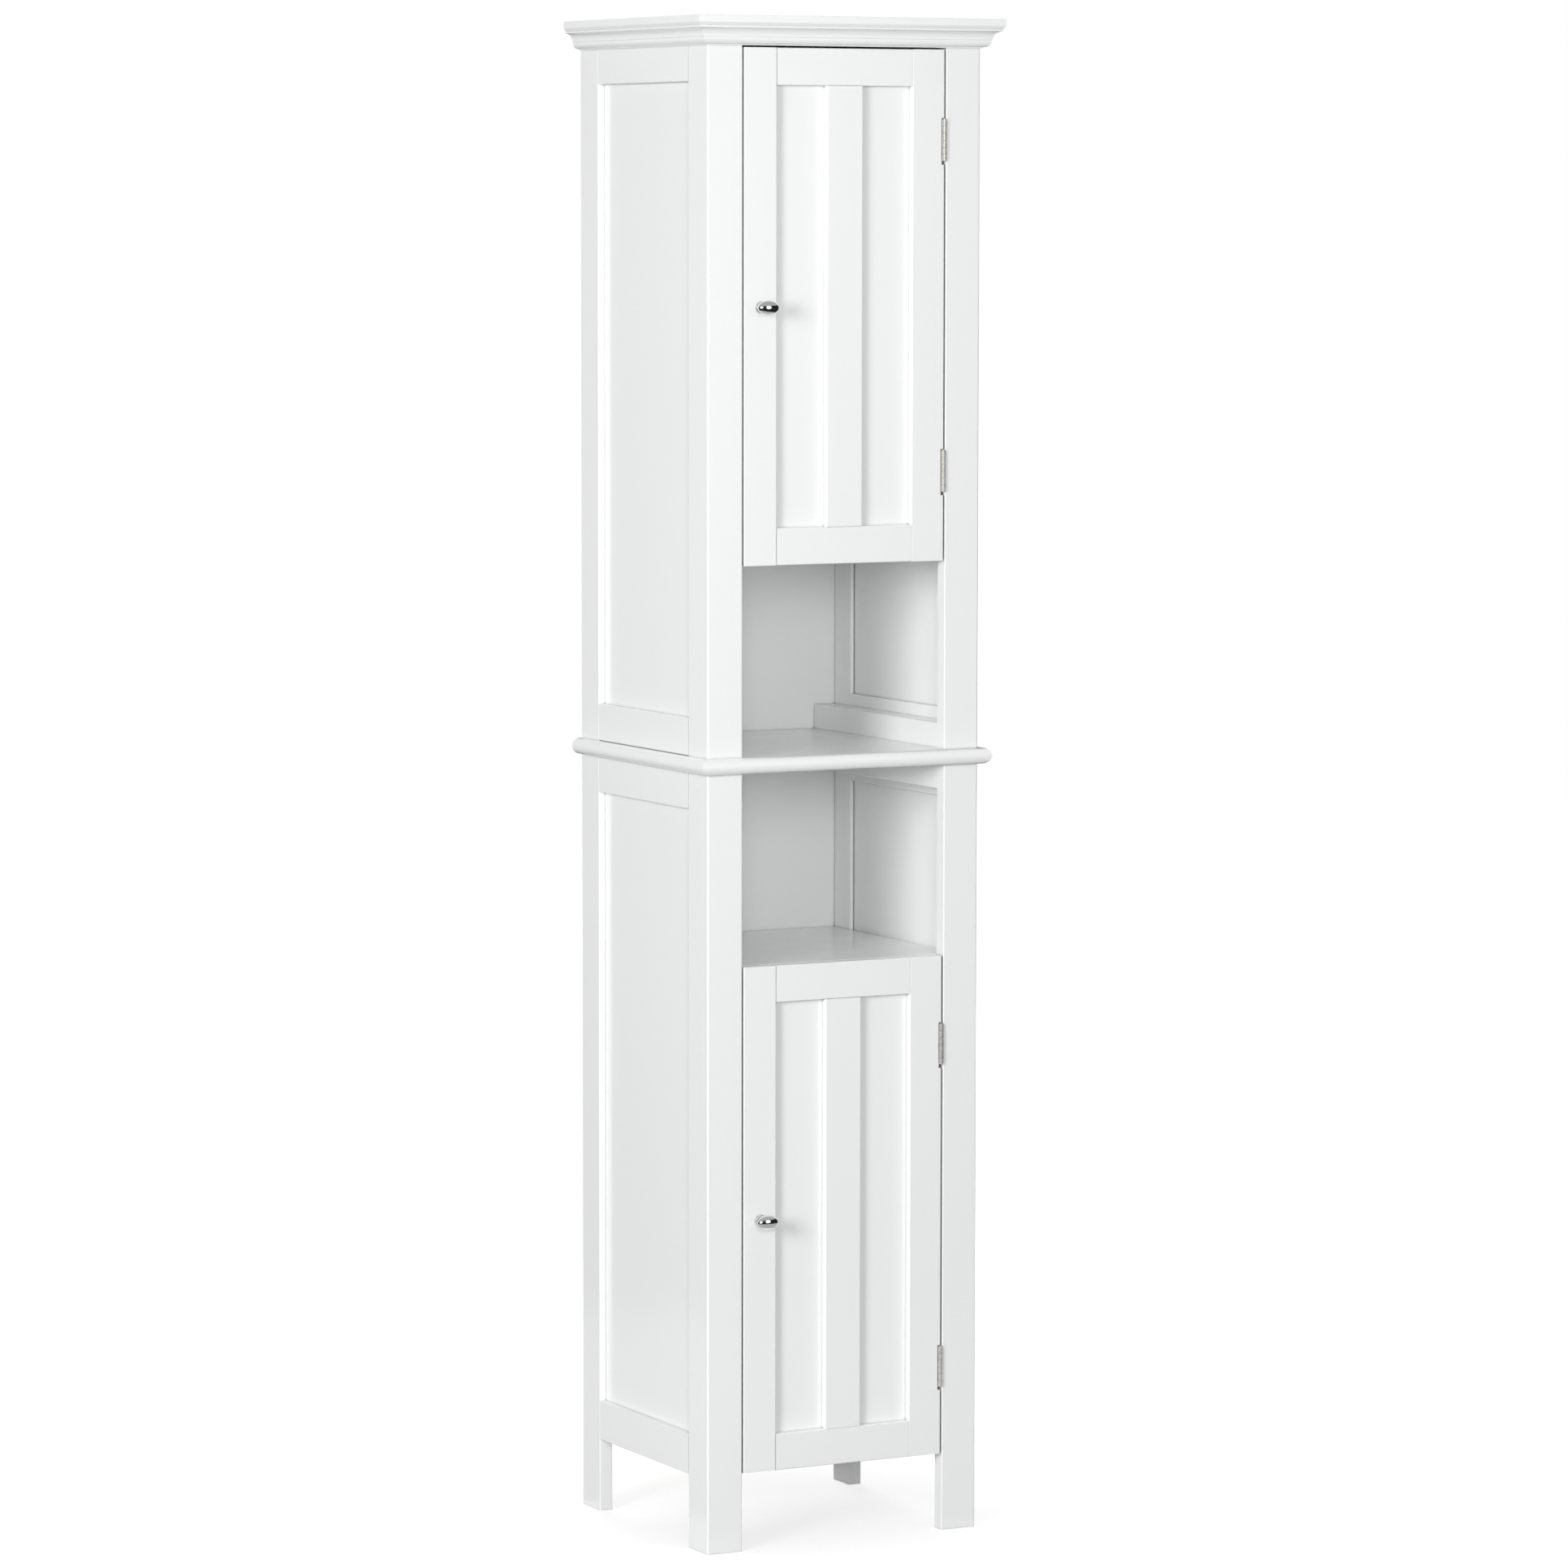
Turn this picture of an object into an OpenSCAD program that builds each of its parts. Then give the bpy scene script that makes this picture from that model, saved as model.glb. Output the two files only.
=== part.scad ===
// Tall two-stage bathroom cabinet: the upper unit stands on the bullnosed mid board of a lower unit on legs.
// Each unit has a cupboard with an inset panelled door on butt hinges and an open niche at hand height.
// Origin on the floor, at the centre of the whole outline. +Z is up and the doors face -Y.

/* [Overall] */
// Width over the side frames
body_w = 340; // [300:1:420]
// Depth from the faces of the doors to the back edges of the side frames
body_d = 318; // [280:1:380]
// Height from the floor to the underside of the mid board
lower_h = 870; // [850:1:950]
// Height from the top of the mid board to the underside of the top board
upper_h = 801; // [790:1:900]
// Height from the floor to the underside of the side frames' lowest rail
leg_h = 83; // [50:1:86]

/* [Boards] */
// Thickness of the stiles and rails of the side frames and doors
frame_t = 16; // [15:0.5:20]
// Thickness of the base panel, niche floor and cupboard floor
fixed_board_t = 15; // [14:0.5:18]
// Thickness of the adjustable shelves
shelf_t = 12; // [10:0.5:18]
// Thickness of the mid board, whose edge is a full bullnose
mid_board_t = 18; // [14:0.5:25]
// Thickness of the top board
top_board_t = 11; // [9:0.5:16]
// Thickness of the thin panels in the side frames
side_panel_t = 3; // [2.5:0.5:4]
// Thickness of the back panels
back_panel_t = 3; // [2.5:0.5:4]
// Small bevel along the edges of the boards
ease = 0.8; // [0.4:0.1:1.2]
// Radius of the outer front corners of the face stiles
corner_r = 2; // [1:0.5:3]

/* [Side frames] */
// Width of the rear stiles, seen from the side
rear_stile_w = 45; // [38:1:60]
// Width of the front posts, seen from the side: a face stile with the side stile behind it
front_post_w = 47; // [42:1:60]
// Width of the face stiles, seen from the front
face_stile_w = 43; // [36:1:55]
// Height of the upper unit's top rails, part of which the crown moulding covers
upper_top_rail_w = 60; // [50:1:80]
// Height of the upper unit's bottom rails
upper_bottom_rail_w = 42; // [36:1:60]
// Height of the lower unit's top rails
lower_top_rail_w = 41; // [36:1:60]
// Height of the lower unit's bottom rails
lower_bottom_rail_w = 45; // [36:1:60]
// Depth of the side panels below the outer faces of their frames
side_recess = 8; // [5:0.5:9]
// Depth of the grooves that hold panels and tongues
groove_d = 8; // [5:0.5:10]
// Clearance on each side of a panel or tongue in its groove
groove_fit = 0.1; // [0.05:0.05:0.2]
// Room between the side panels and the inner cheeks of their grooves
panel_slack = 0.8; // [0.2:0.1:0.9]
// Distance from the back edges of the side frames to the faces of the back panels
back_inset = 6; // [5:0.5:8]
// Width of the rebate that holds the back panels
rebate_w = 8; // [6:0.5:9]
// Side clearance of the back panels in their rebates
back_fit = 0.5; // [0.2:0.1:1]

/* [Mid board and cleats] */
// Overhang of the mid board at the front and the sides
mid_overhang = 12; // [9:0.5:18]
// Height of the cleats above and below the mid board
cleat_h = 28; // [20:1:34]
// Gap between the cleats and the back panels
cleat_gap = 0.6; // [0.2:0.1:0.9]

/* [Crown] */
// Overhang of the top board at the front and the sides
top_overhang = 21; // [20:0.5:25]
// Width of the bevel under the edge of the top board
top_bevel_w = 2.2; // [1:0.1:3]
// Height of the bevel under the edge of the top board
top_bevel_h = 3.4; // [1:0.1:5]
// Height of the crown moulding
crown_h = 21; // [19:0.5:28]
// Radius of the crown moulding's cove
cove_r = 8.6; // [7:0.1:9.5]
// Height of the fillet above the cove
crown_fillet = 2.4; // [1:0.1:3]
// Width of the quirk between the cove and the bead
quirk_w = 1; // [0.5:0.1:1.5]
// Radius of the bead below the quirk
bead_r = 5.8; // [4:0.1:6]
// Projection of the fillet at the foot of the moulding
foot_proj = 2; // [1:0.1:3]
// Height of the fillet at the foot of the moulding
foot_h = 1.4; // [1:0.1:2]

/* [Doors] */
// Height of both doors
door_h = 567; // [530:1:585]
// Height of the lower door's bottom edge above the floor
lower_door_z = 88; // [87:1:110]
// Gap between a door and the face stiles or the header
door_gap = 2; // [2:0.1:3]
// Width of the doors' outer stiles
door_stile_w = 40.5; // [34:0.5:50]
// Height of the doors' rails
door_rail_w = 41; // [34:1:55]
// Width of the doors' middle stiles
door_middle_w = 44.5; // [30:0.5:50]
// Depth of the door panels below the faces of the doors
door_recess = 8; // [5:0.5:8.5]
// Thickness of the door panels
door_panel_t = 4; // [3:0.5:5]
// Distance by which a door's edge covers the edge of the board behind it
door_lap = 2; // [1:0.5:4]
// Clearance between the backs of the doors and the edges of the boards
board_back = 1; // [0.8:0.1:2]

/* [Hinges] */
// Length of the hinge barrels
hinge_len = 46; // [40:1:60]
// Number of knuckles in a barrel
knuckles = 6; // [4:1:8]
// Radius of the knuckles
knuckle_r = 2.5; // [2.2:0.1:3]
// Radius of the hinge pins
pin_r = 1; // [0.8:0.05:1.2]
// Running clearance of a pin in its knuckles, on the radius
pin_fit = 0.05; // [0.02:0.01:0.1]
// Thickness of the hinge leaves
leaf_t = 0.9; // [0.7:0.05:0.95]
// Depth of the leaves behind the faces of the doors
leaf_reach = 14; // [11:0.5:15]
// Distance from a door's end to the middle of its hinge
hinge_inset = 100; // [70:1:160]
// Distance by which the hinge axis stands in front of the doors' faces
axis_proud = 0.8; // [0.6:0.1:2]
// Clearance of the barrels from the face stiles and of each knuckle from the other leaf
knuckle_gap = 0.3; // [0.2:0.05:0.4]
// Space between neighbouring knuckles
knuckle_split = 0.5; // [0.2:0.05:0.6]
// Clearance round a barrel in the notch of the door's edge
notch_clear = 0.7; // [0.5:0.1:1.5]
// Depth of the notch behind the door's face
notch_d = 6; // [5:0.5:8]
// Space in the notch above the pin's head
notch_top = 0.6; // [0.4:0.1:2]
// Space in the notch below the barrel
notch_foot = 4; // [1:0.5:6]
// Radius of the hinge pins' heads, at their upper ends
pin_head_r = 1.7; // [1.5:0.1:2.2]
// Height of the hinge pins' heads
pin_head_h = 0.9; // [0.5:0.1:1.3]
// Radius of the screw holes in the leaves
screw_r = 1.1; // [0.8:0.1:1.4]

/* [Knobs] */
// Width of the knobs' oval heads
knob_w = 26; // [22:0.5:32]
// Height of the knobs' oval heads
knob_h = 16.5; // [14:0.5:20]
// Thickness of the knobs' oval heads
knob_t = 12; // [9:0.5:16]
// Projection of the knobs from the doors
knob_proj = 25; // [23:0.5:34]
// Diameter of the knobs' bases
knob_base_d = 13; // [10:0.5:18]
// Thickness of the knobs' bases
knob_base_t = 2.4; // [1.5:0.1:4]
// Diameter of the knobs' necks at their waists
knob_neck_d = 7; // [5:0.5:9]

/* [Shelves and fittings] */
// Height of the lower shelf above the base panel
lower_shelf_up = 262; // [120:1:400]
// Height of the upper shelf above the cupboard floor
upper_shelf_up = 272; // [120:1:420]
// Distance from the backs of the doors to the front edges of the shelves
shelf_setback = 10; // [6:0.5:40]
// Clearance of the shelves from the side frames and back panels
shelf_gap = 2; // [1.8:0.1:4]
// Radius of the shelf pins
shelf_pin_r = 2.4; // [2:0.1:3]
// Clearance of the shelf pins in their holes, on the radius
shelf_pin_fit = 0.1; // [0.05:0.05:0.2]
// Distance by which the shelf pins stand out of the side frames
shelf_pin_out = 9; // [7:0.5:12]
// Depth of the shelf pin holes
pin_hole_d = 9; // [6:0.5:11]
// Spacing of the shelf pin holes
pin_pitch = 32; // [20:1:50]
// Radius of the cam locks
cam_r = 7.3; // [6:0.1:8]
// Thickness of the cam locks
cam_t = 11.5; // [9:0.5:12]
// Distance from the end of a board to the middle of its cam locks
cam_setback = 24; // [20:1:34]
// Radius of the cam bolts
cam_bolt_r = 3; // [2.5:0.1:3.5]
// Depth of the cam bolts in the side frames
cam_bolt_in = 10; // [8:0.5:11]
// Thickness of the wall rail
wall_rail_t = 12; // [10:0.5:18]
// Height of the wall rail
wall_rail_w = 60; // [40:1:90]
// Radius of the wall screw holes
wall_hole_r = 2.5; // [2:0.1:4]
// Distance between the two wall screw holes
wall_hole_pitch = 200; // [100:1:220]
// Width of the magnetic catches
catch_w = 46; // [36:1:60]
// Depth of the magnetic catches
catch_d = 15; // [12:0.5:20]
// Height of the magnetic catches
catch_h = 12; // [10:0.5:14]
// Width of the strike plates and of the catches' pole plates
strike_w = 31; // [24:1:34]
// Distance from a door's free edge to the middle of its catch
catch_in = 38; // [34:1:60]
// Thickness of the strike plates
strike_t = 0.7; // [0.5:0.1:0.7]

/* [Hidden] */
$fn = 64;

// Colours
paint = [0.93, 0.94, 0.94];
inside_paint = [0.90, 0.91, 0.92];
nickel = [0.78, 0.77, 0.73];
chrome = [0.86, 0.87, 0.88];
catch_white = [0.88, 0.88, 0.86];

// Depth: the outline reaches from the knobs or the top board to the back edges
front_reach = max(top_overhang, knob_proj, mid_overhang);
yb = (body_d + front_reach) / 2;
yf = yb - body_d;
yd = yf + frame_t;
y_board = yd + board_back;
y_back = yb - back_inset;
// Width: outer and inner faces of the side frames, edges of the face stiles, edges of the doors
xo = body_w / 2;
xi = xo - frame_t;
xs = xo - face_stile_w;
xd = xs - door_gap;
// Heights
zm1 = lower_h + mid_board_t;
zt = zm1 + upper_h;
z_crown = zt - crown_h;
upper_door_z = z_crown - door_gap - door_h;
base_z = lower_door_z + door_lap;
niche_z = lower_door_z + door_h - fixed_board_t;
floor_z = upper_door_z + door_lap;
lower_shelf_z = base_z + fixed_board_t + lower_shelf_up;
upper_shelf_z = floor_z + fixed_board_t + upper_shelf_up;
// Side panels and their grooves, measured on the left side
panel_x0 = -xo + side_recess;
panel_x1 = panel_x0 + side_panel_t;
groove_x0 = panel_x0 - groove_fit;
groove_x1 = panel_x1 + panel_slack;
rail_y0 = yf + front_post_w;
rail_y1 = yb - rear_stile_w;
front_line = (yd + rail_y0) / 2;
rear_line = (rail_y1 + y_back) / 2;
// Door panels and their grooves
door_panel_y0 = yf + door_recess;
door_panel_y1 = door_panel_y0 + door_panel_t;
door_in = xd - door_stile_w;
// Hinge axis
xa = xs - knuckle_r - knuckle_gap;
ya = yf - axis_proud;
knuckle_h = hinge_len / knuckles;
notch_x = xa - knuckle_r - notch_clear;
// Clearance at the ends of tongues and at the free edges of panels
tongue_end = 0.5;
panel_end = 1;
// How far a cutting shape reaches past the face that it opens
cut = 1;
// The crown moulding's top lines up with the bevel under the top board
crown_proj = top_overhang - top_bevel_w;
// Hinge screws: distance behind the doors' faces, spacing and the land below the countersinks
screw_y = (notch_d + leaf_reach) / 2;
screw_pitch = hinge_len / 3;
screw_land = 0.1;
// Rows of shelf pin holes below, at and above the shelf, and the pins' collars
pin_rows = [-1, 0, 1];
pin_collar_r = shelf_pin_r * 1.6;
pin_collar_t = 1.4;
pin_seat = 0.5;
// Cam fittings: heights of the fixed boards' middles, clearances, the bolts' necks and heads, the cross slot
board_mid = fixed_board_t / 2;
lower_cams = [base_z + board_mid, niche_z + board_mid];
upper_cams = [floor_z + board_mid];
cam_room = 0.2;
bolt_room = 0.4;
bolt_head_t = 2.4;
bolt_neck_r = cam_bolt_r * 0.6;
cross_l = cam_r * 1.1;
cross_w = 1.4;
cross_d = 1.6;
// Catches: clearance in front of the pole plates, the plates' slots and the strike plates' height
catch_gap = 0.2;
catch_y = yd + strike_t + catch_gap;
catch_slot = 1.2;
strike_h = catch_h - 2;
knob_x = -xd + door_stile_w / 2;
catch_x = -xd + catch_in;

// Four-sided outline from lo to hi whose corners are bevelled; bevels run anticlockwise from lo
function eased_rect(lo, hi, c) = [
    each c[0] > 0 ? [[lo.x, lo.y + c[0]], [lo.x + c[0], lo.y]] : [[lo.x, lo.y]],
    each c[1] > 0 ? [[hi.x - c[1], lo.y], [hi.x, lo.y + c[1]]] : [[hi.x, lo.y]],
    each c[2] > 0 ? [[hi.x, hi.y - c[2]], [hi.x - c[2], hi.y]] : [[hi.x, hi.y]],
    each c[3] > 0 ? [[lo.x + c[3], hi.y], [lo.x, hi.y - c[3]]] : [[lo.x, hi.y]]
];

module block(lo, hi) translate(lo) cube(hi - lo);

// Boards with eased edges: upright, lying along X, and lying along Y
module post(lo, hi, z0, z1, c)
    translate([0, 0, z0]) linear_extrude(z1 - z0) polygon(eased_rect(lo, hi, c));

module beam_x(lo, hi, x0, x1, c)
    translate([x0, 0, 0]) rotate([90, 0, 90]) linear_extrude(x1 - x0) polygon(eased_rect(lo, hi, c));

module beam_y(lo, hi, y0, y1, c)
    translate([0, y1, 0]) rotate([90, 0, 0]) linear_extrude(y1 - y0) polygon(eased_rect(lo, hi, c));

// A rod along X from x0 to x1
module rod_x(x0, x1, y, z, r) translate([x0, y, z]) rotate([0, 90, 0]) cylinder(h = x1 - x0, r = r);

// What is cut away to round the front left corner of a left face stile
module corner_waste(z0, z1)
    difference() {
        block([-xo - cut, yf - cut, z0 - cut], [-xo + corner_r, yf + corner_r, z1 + cut]);
        translate([-xo + corner_r, yf + corner_r, z0 - 2 * cut])
            cylinder(h = z1 - z0 + 4 * cut, r = corner_r);
    }

module on_side(side) mirror([side > 0 ? 1 : 0, 0, 0]) children();

// Blind holes in a left stile, for the cam bolts at each height in cams and the pins of the shelf at shelf_z
module stile_holes(y, cams, shelf_z) {
    for (z = cams) rod_x(-xi - cam_bolt_in, -xi + cut, y, z, cam_bolt_r);
    for (i = pin_rows)
        rod_x(-xi - pin_hole_d, -xi + cut, y, shelf_z - shelf_pin_r + i * pin_pitch,
              shelf_pin_r + shelf_pin_fit);
}

// What is cut out of a left rear stile for the back panel, with a bevel on the inner edge
rebate = [[-xi - rebate_w, y_back], [-xi - ease, y_back], [-xi + cut, y_back - ease - cut],
          [-xi + cut, yb + cut], [-xi - rebate_w, yb + cut]];

// Stiles of a left side frame
module rear_stile(z0, z1, groove_z, cams, shelf_z)
    color(paint) difference() {
        post([-xo, rail_y1], [-xi, yb], z0, z1, [ease, ease, 0, ease]);
        block([groove_x0, rail_y1 - cut, groove_z], [groove_x1, rail_y1 + groove_d, z1 + cut]);
        translate([0, 0, z0 - cut]) linear_extrude(z1 - z0 + 2 * cut) polygon(rebate);
        stile_holes(rear_line, cams, shelf_z);
    }

module front_stile(z0, z1, groove_z, cams, shelf_z)
    color(paint) difference() {
        post([-xo, yd], [-xi, rail_y0], z0, z1, [0, 0, ease, ease]);
        block([groove_x0, rail_y0 - groove_d, groove_z], [groove_x1, rail_y0 + cut, z1 + cut]);
        stile_holes(front_line, cams, shelf_z);
    }

module face_stile(z0, z1)
    color(paint) difference() {
        post([-xo, yf], [-xs, yd], z0, z1, [0, ease, 0, 0]);
        corner_waste(z0, z1);
    }

// A left side rail with its tongues; groove_at is the height of the grooved edge, at the rail's top or bottom
module side_rail(z0, z1, groove_at, c)
    color(paint) difference() {
        union() {
            beam_y([-xo, z0], [-xi, z1], rail_y0, rail_y1, c);
            block([panel_x0, rail_y0 - groove_d + tongue_end, z0],
                  [groove_x1 - groove_fit, rail_y1 + groove_d - tongue_end, z1]);
        }
        block([groove_x0, rail_y0 - groove_d, groove_at - groove_d],
              [groove_x1, rail_y1 + groove_d, groove_at + groove_d]);
    }

module top_rail(z1, w) side_rail(z1 - w, z1, z1 - w, [ease, ease, 0, 0]);

module bottom_rail(z0, w) side_rail(z0, z0 + w, z0 + w, [ease, ease, ease, ease]);

// The thin panels of both side frames, from the bottom of the groove in the rail below
module side_panels(z_low, z_high)
    color(paint) for (side = [-1, 1]) on_side(side)
        block([panel_x0, rail_y0 - groove_d + panel_end, z_low - groove_d],
              [panel_x1, rail_y1 + groove_d - panel_end, z_high + groove_d - panel_end]);

module lower_rear() rear_stile(0, lower_h, leg_h, lower_cams, lower_shelf_z);
module lower_front() front_stile(0, lower_h, leg_h, lower_cams, lower_shelf_z);
module upper_rear() rear_stile(zm1, zt, zm1 - cut, upper_cams, upper_shelf_z);
module upper_front() front_stile(zm1, zt, zm1 - cut, upper_cams, upper_shelf_z);

module back_panel(z0, z1, holes = false)
    color(inside_paint) difference() {
        block([-xi - rebate_w + back_fit, y_back, z0], [xi + rebate_w - back_fit, y_back + back_panel_t, z1]);
        if (holes) wall_holes();
    }

// Both ends of the board whose middle is at z, on the lines of the front and rear stiles; up is 1 for a board
// whose cams are in its upper face
module at_board_ends(z, up = 0)
    for (y = [front_line, rear_line], side = [-1, 1])
        on_side(side) translate([-xi, y, z]) mirror([0, 0, up]) children();

module at_cams() {
    for (z = lower_cams) at_board_ends(z) children();
    for (z = upper_cams) at_board_ends(z, 1) children();
}

module fixed_board(z0, up = 0)
    color(inside_paint) difference() {
        beam_x([y_board, z0], [y_back, z0 + fixed_board_t], -xi, xi, [ease, 0, 0, ease]);
        at_board_ends(z0 + board_mid, up) {
            translate([cam_setback, 0, -board_mid - cut])
                cylinder(h = cam_t + cam_room + cut, r = cam_r + cam_room);
            rod_x(-cut, cam_setback, 0, 0, cam_bolt_r + bolt_room);
        }
    }

// A turned disc with a slot that takes the bolt's head, and a cross for the screwdriver in its outer face
module cam_locks()
    color(nickel) at_cams() translate([cam_setback, 0, -board_mid]) difference() {
        cylinder(h = cam_t, r = cam_r);
        block([-cam_r - cut, -cam_bolt_r - bolt_room, board_mid - cam_bolt_r - bolt_room],
              [cam_bolt_r + bolt_room, cam_bolt_r + bolt_room, cam_t + cut]);
        for (a = [45, 135]) rotate(a)
            block([-cross_l / 2, -cross_w / 2, -cut], [cross_l / 2, cross_w / 2, cross_d]);
    }

module cam_bolts()
    color(nickel) at_cams() {
        rod_x(-cam_bolt_in, cam_setback - cam_r - bolt_head_t, 0, 0, cam_bolt_r);
        rod_x(cam_setback - cam_r - bolt_head_t - cut, cam_setback - bolt_head_t + cut, 0, 0, bolt_neck_r);
        rod_x(cam_setback - bolt_head_t, cam_setback, 0, 0, cam_bolt_r);
    }

module shelf(z0)
    color(inside_paint)
        beam_x([yd + shelf_setback, z0], [y_back - shelf_gap, z0 + shelf_t],
               -xi + shelf_gap, xi - shelf_gap, [ease, 0, 0, ease]);

module shelf_pins()
    color(nickel) for (z = [lower_shelf_z, upper_shelf_z], y = [front_line, rear_line], side = [-1, 1])
        on_side(side) {
            rod_x(-xi - pin_hole_d + pin_seat, -xi + shelf_pin_out, y, z - shelf_pin_r, shelf_pin_r);
            rod_x(-xi, -xi + pin_collar_t, y, z - shelf_pin_r, pin_collar_r);
        }

// Full bullnose on the front and both ends: two rounded bars cross, so that the corners are mitred
module mid_board() {
    r = mid_board_t / 2;
    w = xo + mid_overhang;
    y0 = yf - mid_overhang;
    color(paint) intersection() {
        translate([0, yb, lower_h]) rotate([90, 0, 0]) linear_extrude(yb - y0) {
            translate([-w + r, 0]) square([2 * (w - r), mid_board_t]);
            for (x = [-w + r, w - r]) translate([x, r]) circle(r);
        }
        translate([-w, 0, lower_h]) rotate([90, 0, 90]) linear_extrude(2 * w) {
            translate([y0 + r, 0]) square([yb - y0 - r, mid_board_t]);
            translate([y0 + r, r]) circle(r);
        }
    }
}

// Blocks in the corners above and below the mid board, flush with the inner edges of the face stiles
module stacking_cleats()
    color(paint) for (side = [-1, 1]) on_side(side) {
        beam_y([-xi, lower_h - cleat_h], [-xs, lower_h], yd, y_back - cleat_gap, [0, ease, 0, 0]);
        beam_y([-xi, zm1], [-xs, zm1 + cleat_h], yd, y_back - cleat_gap, [0, 0, ease, 0]);
    }

// Outline of the top board's edge, bevelled below, from x0 to a square or a shaped end
function top_outline(x0, x1, square_end) = [
    [x0 + top_bevel_w, 0],
    each square_end ? [[x1, 0], [x1, top_board_t]]
        : [[x1 - top_bevel_w, 0], [x1, top_bevel_h], [x1, top_board_t - ease], [x1 - ease, top_board_t]],
    [x0 + ease, top_board_t], [x0, top_board_t - ease], [x0, top_bevel_h]
];

module top_board() {
    w = xo + top_overhang;
    y0 = yf - top_overhang;
    color(paint) intersection() {
        translate([0, yb, zt]) rotate([90, 0, 0]) linear_extrude(yb - y0)
            polygon(top_outline(-w, w, false));
        translate([-w, 0, zt]) rotate([90, 0, 90]) linear_extrude(2 * w)
            polygon(top_outline(y0, yb, true));
    }
}

// Section of the crown moulding, out from the frame along x and up along y:
// fillet, bead, quirk, cove and top fillet
module crown_section() {
    cove_x = crown_proj - cove_r;
    cove_y = crown_h - crown_fillet - cove_r;
    bead_x = cove_x - quirk_w;
    quirk_y = max(foot_h + bead_r, cove_y - quirk_w);
    square([foot_proj, crown_h]);
    translate([0, foot_h]) square([bead_x - bead_r, crown_h - foot_h]);
    translate([bead_x - bead_r, foot_h + bead_r]) circle(bead_r);
    translate([0, foot_h + bead_r]) square([bead_x, crown_h - foot_h - bead_r]);
    difference() {
        translate([0, quirk_y]) square([crown_proj, crown_h - quirk_y]);
        translate([crown_proj, cove_y]) circle(cove_r);
        translate([cove_x, quirk_y - cut]) square([cove_r + cut, cove_y - quirk_y + cut]);
    }
}

module crown_front_moulding()
    color(paint) intersection() {
        translate([-xo - crown_proj, yf, z_crown]) mirror([0, 1, 0]) rotate([90, 0, 90])
            linear_extrude(2 * (xo + crown_proj)) crown_section();
        translate([0, 0, z_crown - cut]) linear_extrude(crown_h + 2 * cut)
            polygon([[-xo, yf], [-xo - crown_proj - cut, yf - crown_proj - cut],
                     [xo + crown_proj + cut, yf - crown_proj - cut], [xo, yf]]);
    }

module crown_side_mouldings()
    color(paint) for (side = [-1, 1]) on_side(side) intersection() {
        translate([-xo, yb, z_crown]) mirror([1, 0, 0]) rotate([90, 0, 0])
            linear_extrude(body_d + crown_proj) crown_section();
        translate([0, 0, z_crown - cut]) linear_extrude(crown_h + 2 * cut)
            polygon([[-xo, yf], [-xo, yb + cut], [-xo - crown_proj - cut, yb + cut],
                     [-xo - crown_proj - cut, yf - crown_proj - cut]]);
    }

module header_rail()
    color(paint) beam_x([yf, z_crown], [yd, zt], -xs, xs, [ease, ease, 0, 0]);

module wall_holes()
    for (x = [-wall_hole_pitch / 2, wall_hole_pitch / 2])
        translate([x, yb + cut, zt - wall_rail_w / 2]) rotate([90, 0, 0])
            cylinder(h = back_inset + wall_rail_t + 2 * cut, r = wall_hole_r);

module wall_rail()
    color(inside_paint) difference() {
        beam_x([y_back - wall_rail_t, zt - wall_rail_w], [y_back, zt], -xi, xi, [ease, 0, 0, 0]);
        wall_holes();
    }

// Doors. z0 is the height of a door's bottom edge
module door_stile_left(z0)
    difference() {
        post([-xd, yf], [-door_in, yd], z0, z0 + door_h, [ease, ease, ease, ease]);
        block([-door_in - groove_d, door_panel_y0 - groove_fit, z0 - cut],
              [-door_in + cut, door_panel_y1 + groove_fit, z0 + door_h + cut]);
    }

module door_knob_stile(z0) color(paint) door_stile_left(z0);

module door_hinge_stile(z0)
    color(paint) difference() {
        mirror([1, 0, 0]) door_stile_left(z0);
        for (z = hinge_heights(z0))
            block([notch_x, yf - cut, z - hinge_len / 2 - notch_foot],
                  [xd + cut, yf + notch_d, z + hinge_len / 2 + pin_head_h + notch_top]);
    }

function hinge_heights(z0) = [z0 + hinge_inset, z0 + door_h - hinge_inset];

// groove_at is the height of the grooved edge, at the rail's top or bottom
module door_rail(z0, groove_at)
    color(paint) difference() {
        union() {
            beam_x([yf, z0], [yd, z0 + door_rail_w], -door_in, door_in, [ease, ease, ease, ease]);
            block([-door_in - groove_d + tongue_end, door_panel_y0, z0],
                  [door_in + groove_d - tongue_end, door_panel_y1, z0 + door_rail_w]);
        }
        block([-door_in - groove_d, door_panel_y0 - groove_fit, groove_at - groove_d],
              [door_in + groove_d, door_panel_y1 + groove_fit, groove_at + groove_d]);
    }

module door_top_rail(z0) door_rail(z0 + door_h - door_rail_w, z0 + door_h - door_rail_w);

module door_bottom_rail(z0) door_rail(z0, z0 + door_rail_w);

module door_middle_stile(z0) {
    w = door_middle_w / 2;
    za = z0 + door_rail_w;
    zb = z0 + door_h - door_rail_w;
    color(paint) difference() {
        union() {
            post([-w, yf], [w, yd], za, zb, [ease, ease, ease, ease]);
            block([-w, door_panel_y0, za - groove_d + tongue_end],
                  [w, door_panel_y1, zb + groove_d - tongue_end]);
        }
        for (side = [-1, 1]) on_side(side)
            block([-w - cut, door_panel_y0 - groove_fit, za - groove_d],
                  [-w + groove_d, door_panel_y1 + groove_fit, zb + groove_d]);
    }
}

module door_panels(z0)
    color(paint) for (side = [-1, 1]) on_side(side)
        block([-door_in - groove_d + panel_end, door_panel_y0, z0 + door_rail_w - groove_d],
              [-door_middle_w / 2 + groove_d - panel_end, door_panel_y1,
               z0 + door_h - door_rail_w + groove_d - panel_end]);

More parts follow.
